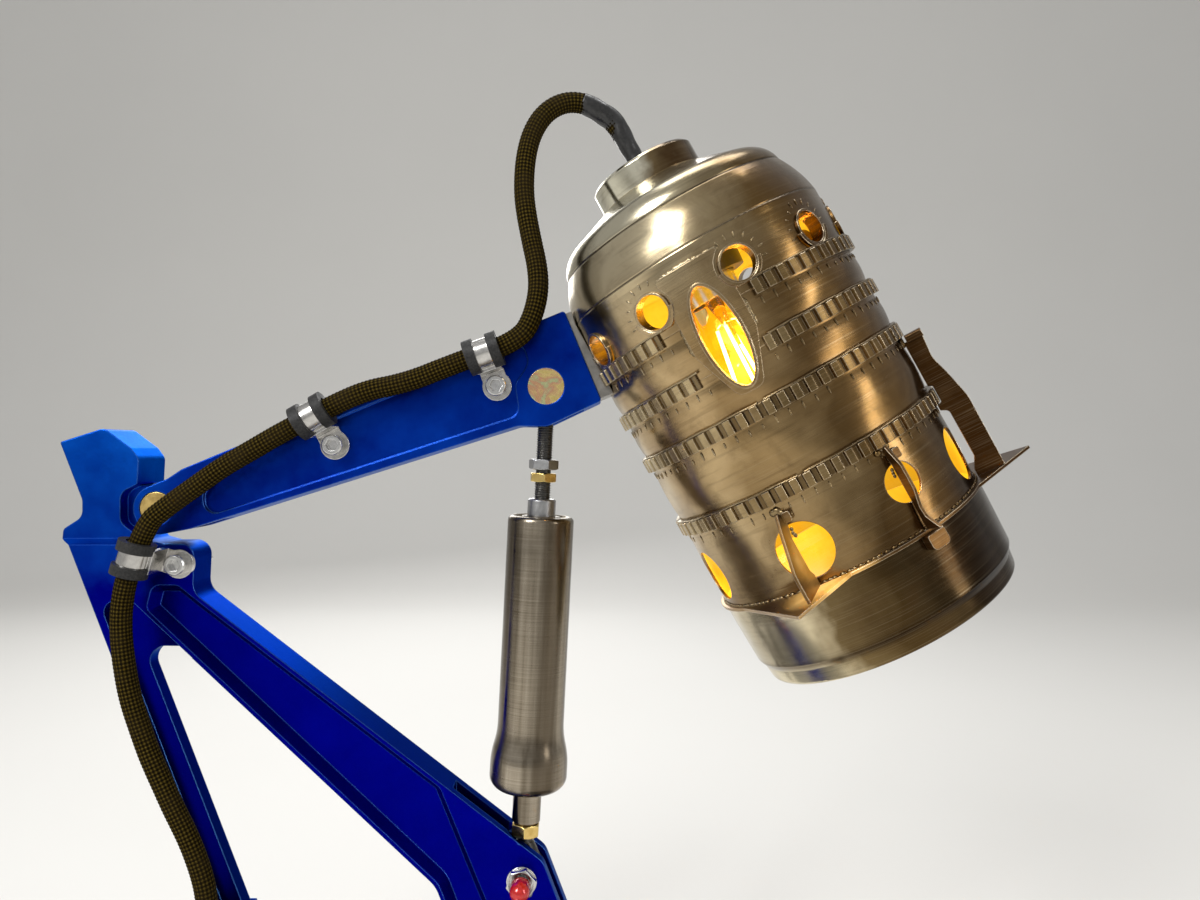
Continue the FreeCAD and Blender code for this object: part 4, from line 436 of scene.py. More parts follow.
def covering(name, tones, grain, sheen, patches=None, bump=0.0, waves=0.0, **inputs):
    """Rubber, sheath or anodising. grain and patches are a noise's scale and detail, tones and
    sheen the stops of their ramps."""
    paint = Paint(name, **inputs)
    where = paint.coords()
    fine = paint.noise(where, *grain)
    broad = paint.noise(where, *patches) if patches else fine
    paint.plug(paint.ramp(fine, tones), "Base Color")
    paint.plug(paint.ramp(broad, sheen), "Roughness")
    normal = paint.bump(fine, bump, 0.0003) if bump else None
    if waves:
        normal = paint.bump(broad, waves, 0.0012, normal)
    if normal:
        paint.plug(normal, "Normal")
    return paint


flex_black = covering("black_flex", [(0.3, (0.012, 0.012, 0.013)), (0.8, (0.03, 0.03, 0.032))],
                      (420, 4), [(0.3, 0.34), (0.7, 0.52)], bump=0.12)
shrink = covering("shrink_black", [(0.3, (0.008, 0.008, 0.008)), (0.8, (0.022, 0.021, 0.02))],
                  (900, 3), [(0.35, 0.26), (0.7, 0.46)], (120, 3), bump=0.15, waves=0.35)
rubber = covering("black_rubber", [(0.3, (0.01, 0.01, 0.01)), (0.75, (0.032, 0.031, 0.03))],
                  (1300, 3), [(0.35, 0.42), (0.7, 0.62)], (150, 2), bump=0.18,
                  Specular_IOR_Level=0.25)
red = covering("red_anodised", [(0.3, (0.4, 0.005, 0.004)), (0.7, (0.66, 0.016, 0.01))],
               (900, 3), [(0.3, 0.12), (0.7, 0.24)], Metallic=0.25, Coat_Weight=0.7,
               Coat_Roughness=0.08)
flex_data = spline_data("flex_lead", flex_points, 10)
flex_data.bevel_depth = 0.0035
flex_data.bevel_resolution = 5
flex_data.use_fill_caps = True
flex_data.materials.append(flex_black.material)
flex = bpy.data.objects.new("flex_lead", flex_data)
scene.collection.objects.link(flex)
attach(flex, STAND)
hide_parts("flex_tail", "flex_coil")
flex_line = spline_path(flex_points)

# The shrink tubes, in metres
SHRINK_STEP = 0.0006
SHRINK_SIDES = 48


def wrinkled(profile):
    """A shrink tube's radius: a profile of (share, mm) pairs, with slight uneven wrinkles."""
    def shape(share, turn):
        for (a, ra), (b, rb) in zip(profile, profile[1:]):
            if share <= b:
                t = (share - a) / (b - a)
                radius = ra + (rb - ra) * t * t * (3 - 2 * t)
                break
        else:
            radius = profile[-1][1]
        wave = math.sin(2 * math.pi * turn * 2 + share * 9) * math.sin(share * 23 + 1)
        wave += 0.6 * math.sin(2 * math.pi * turn * 3 - share * 31)
        return (radius + 0.13 * wave) / 1000
    return shape


def sleeve_piece(name, points, profile, body, cad):
    """A shrink tube along a cord, in place of the CAD node it covers."""
    line, length = spaced(spline_path(points), SHRINK_STEP)
    shape = wrinkled(profile)
    mesh = sweep(name, line, lambda along, turn: shape(along / length, turn), SHRINK_SIDES)
    piece = mesh_piece(name, mesh, shrink, body)
    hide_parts(cad)
    return piece


head_shrink_points = [(49.8, 0.0, 422.2), (43.5, 0.0, 433.6), (39.68, 0.0, 440.58),
                      (35.2, 0.0, 448.6), (22.5, -1.5, 454.3)]
head_shrink = sleeve_piece("head_cable_shrink", head_shrink_points,
                           [(0.0, 4.1), (0.16, 4.1), (0.24, 3.7), (0.55, 4.3), (0.8, 4.55),
                            (0.93, 4.5), (1.0, 4.25)], ARM, "cord_shrink_sleeve")
leg_shrink_points = [(-132.7, -22.3, 96.8), (-134.26, -22.3, 90.9), (-138.0, -22.3, 76.8),
                     (-140.91, -22.3, 65.77), (-141.4, -22.3, 63.9)]
leg_shrink = sleeve_piece("sleeve_end_shrink", leg_shrink_points,
                          [(0.0, 4.6), (0.45, 4.7), (0.62, 4.5), (0.8, 4.0), (0.95, 3.9),
                           (1.0, 3.6)], STAND, "cord_sleeve_end")
for name, mates in (("woven_head_run", [head_shrink]), ("woven_elbow", []),
                    ("woven_leg_run", [leg_shrink])):
    piece, line, length = woven_lines[name]


# ---- Metals of the bracket and arm
def anodised_paint():
    """Blue anodised aluminium: azure at the top, paler at its left end, deep ultramarine below,
    and nearly black down the leg as painted shade, with fine mottling, machining lines, and
    lighter edges that are partly wear and partly a painted highlight."""
    paint = Paint("blue_anodised", Metallic=1.0, Specular_Tint=(0.42, 0.56, 0.8, 1.0))
    where = paint.coords()
    place = paint.split(where)
    cloud = paint.noise(where, 38, 4, 0.6)
    speck = paint.noise(where, 900, 3, 0.6)
    high = paint.ramp(paint.plus(place[2], paint.times(cloud, 0.05)),
                      [(0.275, 0.0), (0.335, 1.0)])
    deep = paint.ramp(cloud, [(0.25, (0.0003, 0.0004, 0.17)), (0.75, (0.0006, 0.0012, 0.25))])
    azure = paint.ramp(cloud, [(0.25, (0.0006, 0.01, 0.2)), (0.75, (0.002, 0.045, 0.42))])
    left = paint.ramp(paint.times(place[0], -4.0, clamp=True), [(0.56, 0.0), (0.66, 1.0)])
    pale = paint.ramp(cloud, [(0.25, (0.001, 0.06, 0.42)), (0.75, (0.003, 0.095, 0.56))])
    azure = paint.mix(left, azure, pale)
    # painted shade: low down on the leg's left the blue darkens nearly to black
    low = paint.ramp(paint.times(place[2], 4.0, clamp=True), [(0.5, 1.0), (0.98, 0.0)])
    leg_shade = paint.ramp(paint.times(place[0], -8.0, clamp=True), [(0.8, 0.0), (0.95, 0.75)])
    deep = paint.mix(paint.times(low, leg_shade), deep, (0.0003, 0.0004, 0.06))
    base = paint.mix(high, deep, azure)
    base = paint.mix(paint.ramp(speck, [(0.58, 0.0), (0.8, 0.1)]), base, (0.004, 0.04, 0.44))
    edge, rounded = paint.edges(0.0009)
    # lighter blue at the edges: partly wear, partly a painted highlight
    worn = paint.ramp(paint.plus(edge, paint.times(speck, 0.06)), [(0.07, 0.0), (0.26, 0.55)])
    base = paint.mix(worn, base, (0.1, 0.3, 0.72))
    paint.plug(base, "Base Color")
    lines = paint.noise(paint.mapped(where, scale=(60, 900, 900)), 1.0, 2)
    rough = paint.plus(paint.times(speck, 0.16), 0.26)
    paint.plug(rough, "Roughness")
    paint.plug(paint.bump(lines, 0.05, 0.0003, paint.bump(speck, 0.1, 0.00025, rounded)), "Normal")
    return paint


def metal_paint(name, dark, light, roughness, scale=400.0, bump=0.08, spots=0.0,
                spot_colour=(0.02, 0.018, 0.015)):
    """A worn metal: two tones through a noise, brighter edges, and a roughness that varies.
    spots is how strongly it is stained in small patches."""
    paint = Paint(name, Metallic=1.0)
    where = paint.coords()
    fine = paint.noise(where, scale, 4, 0.6)
    broad = paint.noise(where, 55, 3, 0.5)
    base = paint.ramp(paint.mix(0.4, fine, broad), [(0.3, dark), (0.7, light)])
    if spots:
        base = paint.mix(paint.ramp(paint.noise(where, 160, 3), [(0.6, 0.0), (0.72, spots)]), base,
                         spot_colour)
    sharp, rounded = paint.edges(0.0005)
    bright = tuple(min(1.0, c * 1.6 + 0.05) for c in light)
    base = paint.mix(paint.ramp(sharp, [(0.04, 0.0), (0.18, 0.5)]), base, bright)
    paint.plug(base, "Base Color")
    paint.plug(paint.plus(paint.times(fine, roughness * 0.6), roughness * 0.7), "Roughness")
    paint.plug(paint.bump(fine, bump, 0.0003, rounded), "Normal")
    return paint


satin_steel = metal_paint("satin_steel", (0.3, 0.3, 0.3), (0.46, 0.46, 0.46), 0.34, scale=700,
                          bump=0.06)
dark_steel = metal_paint("dark_steel", (0.045, 0.043, 0.04), (0.13, 0.125, 0.115), 0.36, scale=600,
                         bump=0.12)
gold_pin = metal_paint("gold_pin", (0.34, 0.21, 0.055), (0.72, 0.52, 0.19), 0.34, scale=420,
                       bump=0.35, spots=0.5, spot_colour=(0.1, 0.05, 0.012))
bronze_bush = metal_paint("bronze_bush", (0.36, 0.19, 0.075), (0.58, 0.36, 0.16), 0.3)
bright_steel = metal_paint("bright_steel", (0.48, 0.48, 0.47), (0.74, 0.73, 0.71), 0.2, scale=500,
                           bump=0.06)
brass = metal_paint("brass", (0.5, 0.33, 0.085), (0.86, 0.64, 0.25), 0.24, scale=350, bump=0.1,
                    spots=0.35, spot_colour=(0.16, 0.08, 0.02))
clip_steel = metal_paint("clip_steel", (0.4, 0.39, 0.37), (0.66, 0.64, 0.61), 0.22, scale=450,
                         bump=0.06)


def zinc_paint():
    """Yellow zinc plate, with its faint rainbow of gold, rose and green."""
    paint = Paint("zinc_yellow", Metallic=1.0)
    where = paint.coords()
    drift = paint.noise(where, 95, 3, 0.55, 0.8)
    fine = paint.noise(where, 800, 3)
    tint = paint.ramp(drift, [(0.26, (0.7, 0.47, 0.13)), (0.42, (0.84, 0.66, 0.26)),
                              (0.52, (0.74, 0.4, 0.24)), (0.6, (0.6, 0.64, 0.34)),
                              (0.74, (0.88, 0.7, 0.3))])
    sharp, rounded = paint.edges(0.0004)
    tint = paint.mix(paint.ramp(sharp, [(0.05, 0.0), (0.2, 0.5)]), tint, (0.95, 0.88, 0.62))
    paint.plug(tint, "Base Color")
    paint.plug(paint.between(fine, 0.18, 0.32), "Roughness")
    paint.plug(paint.bump(fine, 0.08, 0.0003, rounded), "Normal")
    return paint


def brushed_paint():
    """The strut's stainless steel, brushed round its axis, with a few scratches along it and
    painted reflections as dark streaks along it, five times round.
    """
    paint = Paint("brushed_stainless", Metallic=1.0)
    turn = Matrix((ACROSS.cross(-STRUT_WAY), ACROSS, -STRUT_WAY)).transposed().to_euler()
    where = paint.mapped(paint.coords(), rotation=turn, kind="TEXTURE")
    rings = paint.noise(paint.mapped(where, scale=(20, 20, 2600)), 1.0, 3, 0.7)
    streak = paint.noise(paint.mapped(where, scale=(300, 300, 9)), 1.0, 4, 0.6)
    broad = paint.noise(where, 70, 3)
    tone = paint.plus(paint.times(rings, 0.35), paint.times(streak, 0.45))
    base = paint.ramp(tone, [(0.24, (0.14, 0.112, 0.076)), (0.56, (0.43, 0.375, 0.295))])
    place = paint.split(where)
    round_it = paint.math("ARCTAN2", place[1], place[0])
    # painted reflections: dark streaks along the strut at five places round it
    reflection_streaks = paint.math("SINE", paint.plus(paint.times(round_it, 5.0), 0.6))
    reflection_streaks = paint.plus(reflection_streaks, paint.times(streak, 1.4))
    base = paint.mix(paint.ramp(paint.times(reflection_streaks, 0.5), [(0.1, 0.75), (0.75, 0.0)]), base,
                     (0.075, 0.055, 0.034))
    sharp, rounded = paint.edges(0.0006)
    base = paint.mix(paint.ramp(sharp, [(0.05, 0.0), (0.2, 0.5)]), base, (0.74, 0.7, 0.62))
    paint.plug(base, "Base Color")
    paint.plug(paint.between(broad, 0.15, 0.3), "Roughness")
    paint.plug(paint.bump(rings, 0.1, 0.0002, paint.bump(streak, 0.05, 0.0004, rounded)), "Normal")
    return paint


def plastic_paint(name, dark, light, roughness):
    """A moulded plastic or ceramic with a fine grain and slightly rubbed edges."""
    paint = Paint(name)
    where = paint.coords()
    fine = paint.noise(where, 2200, 2)
    sharp, rounded = paint.edges(0.0006)
    base = paint.between(fine, dark, light)
    base = paint.mix(paint.ramp(sharp, [(0.05, 0.0), (0.2, 0.4)]), base,
                     tuple(c * 1.8 + 0.02 for c in light))
    paint.plug(base, "Base Color")
    paint.plug(paint.between(fine, roughness * 0.8, roughness * 1.2), "Roughness")
    paint.plug(paint.bump(fine, 0.25, 0.0002, rounded), "Normal")
    return paint


dark_plastic = plastic_paint("dark_plastic", (0.014, 0.014, 0.015), (0.03, 0.03, 0.031), 0.38)
rocker_plastic = plastic_paint("rocker_plastic", (0.02, 0.02, 0.021), (0.045, 0.045, 0.046), 0.3)
dress("frame_bracket swing_arm", anodised_paint())
dress("base_plate steel_nut_and_collar", satin_steel)
dress("base_pad frame_clip_cushions arm_clip_cushions", rubber)
dress("base_screws head_bolts upper_rod_end lower_rod_end", dark_steel)
dress("arm_pivot_pin", gold_pin)
dress("arm_pivot_bushes", bronze_bush)
dress("upper_strut_pin", zinc_paint())
dress("release_pin_sleeve release_spring release_pin_spindle plug_pins frame_clip_screws "
      "arm_clip_screws bulb_cap", bright_steel)
dress("red_push_button", red)
dress("brass_jam_nut rod_brass_nut can_guide_bush hub_nipple holder_contacts", brass)
dress("strut_can strut_rod", brushed_paint())
dress("frame_clip_bands arm_clip_bands", clip_steel)
dress("switch_shells mains_plug", dark_plastic)
dress("switch_rocker", rocker_plastic)


# ---- Metals of the head
# How the colour of the head's steel, lid, hub and skirt changes across the head, from its left
# # side at 0 to its right at 1: painted highlights and reflections, pale on the left, and painted
# # shade, olive brown and darker to the right
STEEL_PAINTED_LIGHT = ((0.04, (1.15, 1.1, 0.98)), (0.15, (0.72, 0.61, 0.45)), (0.27, (1.15, 1.05, 0.86)),
               (0.4, (0.66, 0.54, 0.35)), (0.54, (0.86, 0.71, 0.47)), (0.68, (0.35, 0.24, 0.1)),
               (0.8, (0.5, 0.34, 0.14)), (0.93, (0.18, 0.1, 0.02)))
LID_PAINTED_LIGHT = ((0.08, (1.05, 1.03, 0.98)), (0.3, (1.15, 1.14, 1.1)), (0.5, (1.14, 1.13, 1.09)),
             (0.66, (0.85, 0.74, 0.56)), (0.8, (0.34, 0.21, 0.07)), (0.95, (0.2, 0.1, 0.02)))
HUB_PAINTED_LIGHT = ((0.3, (1.5, 1.52, 1.52)), (0.48, (1.45, 1.45, 1.42)), (0.54, (0.42, 0.29, 0.15)),
             (0.62, (0.16, 0.08, 0.03)), (0.69, (0.7, 0.6, 0.45)))
SKIRT_PAINTED_LIGHT = ((0.05, (1.2, 1.12, 0.98)), (0.2, (2.00, 1.9, 1.75)), (0.31, (1.8, 1.65, 1.35)),
               (0.42, (0.4, 0.28, 0.13)), (0.58, (0.17, 0.1, 0.03)), (0.68, (0.19, 0.12, 0.05)),
               (0.78, (0.06, 0.03, 0.01)), (0.95, (0.1, 0.05, 0.02)))


# Stations of the dark lines round the lid, in mm
LID_SEAMS = (28.0, 46.0)


def head_metal(name, tones, roughness, dents, glow=0.0, scratch=0.1, painted_light_stops=STEEL_PAINTED_LIGHT):
    """Heat-tinted sheet steel with circumferential scratches, soft dents, dark seam lines,
    painted highlights, reflections and shade swept across it from left to right, and, on its
    inside faces, the golden light of the filaments. tones are (station mm, colour)."""
    paint = Paint(name, Metallic=1.0)
    where = head_coords(paint)
    place = paint.split(where)
    rings = paint.noise(paint.mapped(where, scale=(14, 14, 2400)), 1.0, 4, 0.7)
    coarse = paint.noise(paint.mapped(where, scale=(35, 35, 700)), 1.0, 3, 0.6)
    cloud = paint.noise(where, 26, 4, 0.55, 0.3)
    stain = paint.noise(where, 75, 5, 0.65, 0.6)
    waves = paint.noise(where, 24, 1.5, 0.35, 0.2)
    station = paint.times(place[2], 1000 / HEAD_LENGTH, clamp=True)
    tone = paint.ramp(station, [(s / HEAD_LENGTH, colour) for s, colour in tones])
    # 0 at the head's left side and 1 at its right, with an uneven edge
    turned = paint.plus(paint.times(place[0], 9.0), paint.times(place[1], 2.2))
    turned = paint.plus(turned, paint.times(paint.minus(cloud, 0.5), 0.55))
    turned = paint.plus(paint.times(turned, 0.85), 0.48, clamp=True)
    # painted highlights, reflections and shade, from the head's left side to its right
    painted_light_tint = paint.ramp(turned, painted_light_stops)
    if painted_light_stops is STEEL_PAINTED_LIGHT:
        # the top of the shell takes the lid's painted highlights and shade
        lower = paint.ramp(station, [(34 / HEAD_LENGTH, 0.0), (74 / HEAD_LENGTH, 1.0)])
        painted_light_tint = paint.mix(lower, paint.ramp(turned, LID_PAINTED_LIGHT), painted_light_tint)
    base = paint.mix(1.0, tone, painted_light_tint, "MULTIPLY")
    grey = paint.new("ShaderNodeRGBToBW", {0: base}).outputs[0]
    base = paint.mix(0.26, base, paint.mix(1.0, (0.96, 0.97, 0.6), grey, "MULTIPLY"))
    base = paint.mix(paint.ramp(stain, [(0.5, 0.0), (0.74, 0.38)]), base, (0.08, 0.042, 0.015))
    base = paint.mix(paint.times(paint.ramp(rings, [(0.52, 0.0), (0.68, 1.0)]), 0.12), base,
                     (0.6, 0.49, 0.32))
    base = paint.mix(paint.times(paint.ramp(coarse, [(0.32, 1.0), (0.46, 0.0)]), 0.22), base,
                     (0.07, 0.042, 0.02))
    sharp, rounded = paint.edges(0.0006)
    base = paint.mix(paint.ramp(sharp, [(0.05, 0.0), (0.2, 0.8)]), base, (0.78, 0.66, 0.48))
    seams = None
    for line in LID_SEAMS:
        near = paint.math("ABSOLUTE", paint.minus(place[2], line / 1000))
        mark = paint.minus(1.0, paint.times(near, 1600.0), clamp=True)
        seams = mark if seams is None else paint.math("MAXIMUM", seams, mark)
    base = paint.mix(paint.times(seams, 0.75), base, (0.07, 0.05, 0.035))
    paint.plug(base, "Base Color")
    wear = paint.plus(paint.times(stain, 0.24), paint.times(rings, 0.12))
    paint.plug(paint.plus(wear, roughness - 0.16), "Roughness")
    soft = paint.bump(waves, dents, 0.005, rounded)
    lines = paint.bump(rings, scratch, 0.00025, paint.bump(coarse, scratch, 0.0004, soft))
    paint.plug(paint.bump(seams, 0.5, -0.0005, lines), "Normal")
    if glow:
        # inside faces look back at the axis, so their normal runs against the way out
        local = paint.mapped(paint.normal(), rotation=HEAD_TURN, kind="TEXTURE")
        out = paint.vectors("MULTIPLY", where, (20.0, 20.0, 0.0))["Vector"]
        dot = paint.vectors("DOT_PRODUCT", local, out)["Value"]
        inside = paint.math("LESS_THAN", dot, -0.35)
        near = paint.falloff(place[2], 0.1, 14.0)
        level = paint.times(paint.times(inside, near), glow)
        level = paint.times(level, paint.plus(0.65, paint.times(cloud, 0.7)))
        paint.plug(level, "Emission Strength")
        paint.plug(paint.between(stain, (1.0, 0.44, 0.01), (1.0, 0.56, 0.022)), "Emission Color")
    return paint


lid_tones = [(0, (0.56, 0.52, 0.45)), (27, (0.47, 0.42, 0.34)), (30, (0.42, 0.36, 0.27)),
             (46, (0.44, 0.37, 0.27)), (70, (0.38, 0.29, 0.185)), (73, (0.43, 0.33, 0.21)),
             (112, (0.37, 0.27, 0.16)), (116, (0.42, 0.32, 0.2)), (142, (0.36, 0.27, 0.165)),
             (146, (0.42, 0.33, 0.22)), (179, (0.27, 0.19, 0.105))]
shell_tones = [(s, (r * 1.12, g * 1.06, b)) for s, (r, g, b) in lid_tones]
head_stainless = head_metal("head_stainless", shell_tones, 0.2, 0.85, glow=1.5, scratch=0.05)
lid_steel = head_metal("lid_steel", lid_tones, 0.2, 0.25, glow=1.0, scratch=0.05,
                       painted_light_stops=LID_PAINTED_LIGHT)
hub_steel = head_metal("hub_steel", lid_tones, 0.13, 0.12, scratch=0.02, painted_light_stops=HUB_PAINTED_LIGHT)
skirt_tones = [(0, (0.42, 0.38, 0.32)), (184, (0.42, 0.37, 0.3)), (205, (0.4, 0.35, 0.28)),
               (208, (0.16, 0.12, 0.08)), (211, (0.52, 0.46, 0.36)), (220, (0.5, 0.44, 0.34))]
skirt_steel = head_metal("skirt_steel", skirt_tones, 0.18, 0.45, glow=2.6, scratch=0.03,
                         painted_light_stops=SKIRT_PAINTED_LIGHT)
strip_tones = [(0, (0.46, 0.37, 0.25)), (71, (0.46, 0.37, 0.25)), (142, (0.4, 0.3, 0.18))]


def strip_paint():
    """The crimped strips, darkened with painted shade down between their ridges."""
    paint = head_metal("strip_steel", strip_tones, 0.26, 0.05, scratch=0.05)
    source = paint.shader.inputs["Base Color"].links[0].from_socket
    where = paint.split(head_coords(paint))
    out = paint.math("SQRT", paint.plus(paint.times(where[0], where[0]),
                                        paint.times(where[1], where[1])))
    # painted shade: the strip darkens where it lies low between its ridges
    proud = paint.times(paint.minus(out, 0.0575), 400.0)
    low = paint.ramp(proud, [(0.4, 0.7), (0.8, 0.0)])
    paint.plug(paint.mix(low, source, (0.085, 0.05, 0.02)), "Base Color")
    return paint


strip_steel = strip_paint()
# painted light: the gussets and weld tabs are tinted copper for the golden light from the holes
gusset_glow_tones = [(0, (0.3, 0.19, 0.1)), (120, (0.28, 0.175, 0.09)), (170, (0.26, 0.155, 0.075)),
                (180, (0.42, 0.25, 0.11))]
gusset_glow_steel = head_metal("gusset_steel", gusset_glow_tones, 0.36, 0.2, scratch=0.05)
plate_tones = [(0, (0.34, 0.21, 0.1)), (176, (0.44, 0.27, 0.12)), (182, (0.36, 0.22, 0.1))]
ear_metal = head_metal("ear_steel", plate_tones, 0.3, 0.25, scratch=0.06)


def lit_patch(paint, radius, degrees, station, reach, level):
    """The golden light that falls through a hole on to the metal beside it, as far as its
    reach in mm round a point of the head."""
    turn = math.radians(degrees)
    spot = [v / 1000 for v in (radius * math.cos(turn), radius * math.sin(turn), station)]
    away = paint.vectors("DISTANCE", head_coords(paint), spot)["Value"]
    near = paint.minus(1.0, paint.math("DIVIDE", away, reach / 1000), clamp=True)
    cloud = paint.noise(head_coords(paint), 90, 3)
    paint.plug(paint.times(near, paint.times(cloud, level)), "Emission Strength")
    paint.plug(paint.between(cloud, (1.0, 0.5, 0.09), (1.0, 0.62, 0.2)), "Emission Color")


lit_patch(ear_metal, 62, 112, 178, 20, 2.6)
lit_patch(gusset_glow_steel, 62, 117, 165, 16, 0.9)
dress("upper_shell port_band shell_bands dilution_band", head_stainless)
dress("dome_lid", lid_steel)
dress("hub_cap", hub_steel)
dress("oval_port port_ferrules", head_metal("port_steel", shell_tones, 0.24, 0.1, glow=1.2))
dress("lower_skirt", skirt_steel)
dress("crimped_strips", strip_steel)
dress("flange_gussets weld_tabs", gusset_glow_steel)
dress("eared_flange", ear_metal)
saddle_steel = metal_paint("saddle_steel", (0.18, 0.17, 0.155), (0.36, 0.34, 0.31), 0.34,
                           scale=300, bump=0.15)
dress("head_saddle", saddle_steel)
dress("lamp_holder",
      plastic_paint("holder_plastic", (0.016, 0.016, 0.016), (0.034, 0.034, 0.034), 0.35))
dress("holder_insert", plastic_paint("ceramic", (0.62, 0.6, 0.56), (0.74, 0.72, 0.68), 0.3))
dress("lead_wires",
      plastic_paint("lead_covering", (0.05, 0.022, 0.012), (0.1, 0.045, 0.022), 0.4))


def glass_paint():
    """The bulb's glass, tinted with the warm light inside the head."""
    paint = Paint("clear_glass", Transmission_Weight=1.0, IOR=1.45)
    fine = paint.noise(head_coords(paint), 60, 3)
    paint.plug(paint.between(fine, (1.0, 0.8, 0.42), (1.0, 0.86, 0.52)), "Base Color")
    paint.plug(paint.between(fine, 0.01, 0.05), "Roughness")
    return paint


def filament_paint():
    """The glowing filaments, brightest at their middle."""
    paint = Paint("glowing_filament")
    where = head_coords(paint)
    place = paint.split(where)
    fine = paint.noise(where, 1600, 3)
    near = paint.falloff(place[2], 0.094, 60.0)
    level = paint.plus(5.0, paint.times(near, 16.0))
    paint.plug(paint.times(level, paint.plus(0.7, paint.times(fine, 0.6))), "Emission Strength")
    paint.plug(paint.ramp(near, [(0.1, (1.0, 0.42, 0.07)), (0.9, (1.0, 0.72, 0.3))]),
               "Emission Color")
    paint.plug(paint.between(fine, (0.9, 0.5, 0.15), (1.0, 0.7, 0.3)), "Base Color")
    return paint


dress("bulb_glass", glass_paint())
dress("bulb_filaments", filament_paint())


# ---- Welds and threads
# Places on the head: its shell's radius and the stations down its axis in mm, and the angles
# round it of the ports, the oval port and the side that faces the arm
SHELL = 57.4
FLANGE = 179.0
PORT_STATION = 61.0
PORTS = [14.8 + 36.0 * i for i in range(10)]
OVAL_ANGLE = 104.0
ARM_ANGLE = 180.0
# The crimped strips, how far each stays clear of the oval port and of the arm's side in
# degrees, and how far their rims stand above them and out from the shell
STRIPS = (71.7, 91.7, 112.0, 142.0)
STRIP_GAPS = ((17, 15), (13, 0), (0, 0), (0, 0))
TEETH = 66
RIM_REACH = 3.6
RIM_PROUD = 1.9
RIM_STEPS = 264
# The weld ticks: the share left out, and how far they lie below a strip and from a port's
# middle, more or less
TICKS_MISSING = 0.06
TICKS_BELOW = 5.6
TICKS_ROUND = 10.6
TICKS_VARY = 0.4
# Each section of the shell: its first and last station and its swelling
SECTIONS = ((46.0, 71.7, 0.3), (71.7, 91.7, 0.7), (91.7, 112.0, 0.7), (112.0, 142.0, 0.7),
            (142.0, 179.0, 0.4))


def skin(station):
    """The shell's outer radius at a station, with each section's slight swelling."""
    for start, end, swell in SECTIONS:
        if start <= station <= end:
            share = (station - start) / (end - start) * 2 - 1
            return SHELL + swell * max(0.0, 1 - share * share)
    return SHELL


def on_skin(degrees, station, proud=0.0):
    """A point on the shell, or as many mm proud of it."""
    return head_point(skin(station) + proud, degrees, station)


class Beads:
    """Many small weld lumps gathered into one mesh."""

    def __init__(self):
        self.build = bmesh.new()

    def lump(self, place, along, out, size):
        """A flattened lump with its length along one way and its height along another, in mm."""
        along = along.normalized()
        out = (out - along * out.dot(along)).normalized()
        side = out.cross(along)
        sizes = [v * random.uniform(0.88, 1.12) / 1000 for v in size]
        shape = Matrix((along * sizes[0], side * sizes[1], out * sizes[2])).transposed().to_4x4()
        bmesh.ops.create_icosphere(self.build, subdivisions=2, radius=1.0,
                                   matrix=Matrix.Translation(place) @ shape)

    def line(self, points, outs, size, step):
        """Overlapping lumps along a line, each a little off it, like a hand-laid weld."""
        for (a, b), (oa, ob) in zip(zip(points, points[1:]), zip(outs, outs[1:])):
            run = (b - a).length
            count = max(1, int(run / (step / 1000)))
            for i in range(count):
                share = (i + random.uniform(-0.15, 0.15)) / count
                aside = (b - a).cross(oa).normalized() * random.uniform(-0.00025, 0.00025)
                self.lump(a.lerp(b, share) + aside, b - a, oa.lerp(ob, share), size)

    def done(self, name):
        mesh = mesh_of(self.build, name, turn=False)
        mesh_piece(name, mesh, weld_metal, ARM)


def outward(degrees):
    """The way out from the head's axis at an angle."""
    a = math.radians(degrees)
    return HEAD_X * math.cos(a) + HEAD_Y * math.sin(a)


def skin_line(spots):
    """Points just proud of the shell, and the way out at each, for (degrees, station) spots."""
    return [on_skin(a, s, 0.1) for a, s in spots], [outward(a) for a, s in spots]


weld_metal = head_metal("weld_metal", [(0, (0.44, 0.38, 0.29)), (220, (0.38, 0.29, 0.19))], 0.26,
                        0.1, scratch=0.03)
ticks = Beads()
# Under the strips, one tick to a tooth, and a few are missing
for strip, (oval_gap, arm_gap) in zip(STRIPS, STRIP_GAPS):
    for tooth in range(TEETH):
        angle = (tooth + 0.65) * 360.0 / TEETH
        clear = abs(angle - OVAL_ANGLE) >= oval_gap and abs(angle - ARM_ANGLE) >= arm_gap
        if not clear or random.random() < TICKS_MISSING:
            continue
        station = strip + TICKS_BELOW + random.uniform(-TICKS_VARY, TICKS_VARY)
        ticks.lump(on_skin(angle, station), HEAD_Z, outward(angle),
                   (random.uniform(1.1, 1.9), 0.36, 0.22))
# Round the ports, but not on the arm's side or where the oval port's plate is
for port in PORTS:
    if abs(port - ARM_ANGLE) < 22:
        continue
    for i in range(11):
        turn = math.radians(-100 + 20 * i)
        reach = TICKS_ROUND + random.uniform(-TICKS_VARY, TICKS_VARY)
        angle = port + math.degrees(reach * math.sin(turn) / SHELL)
        station = PORT_STATION - reach * math.cos(turn)
        if abs(angle - OVAL_ANGLE) < 14 and station > 52:
            continue
        away = HEAD_Z * -math.cos(turn) + outward(port + 90) * math.sin(turn)
        ticks.lump(on_skin(angle, station), away, outward(angle), (1.25, 0.36, 0.26))
ticks.done("spot_weld_ticks")

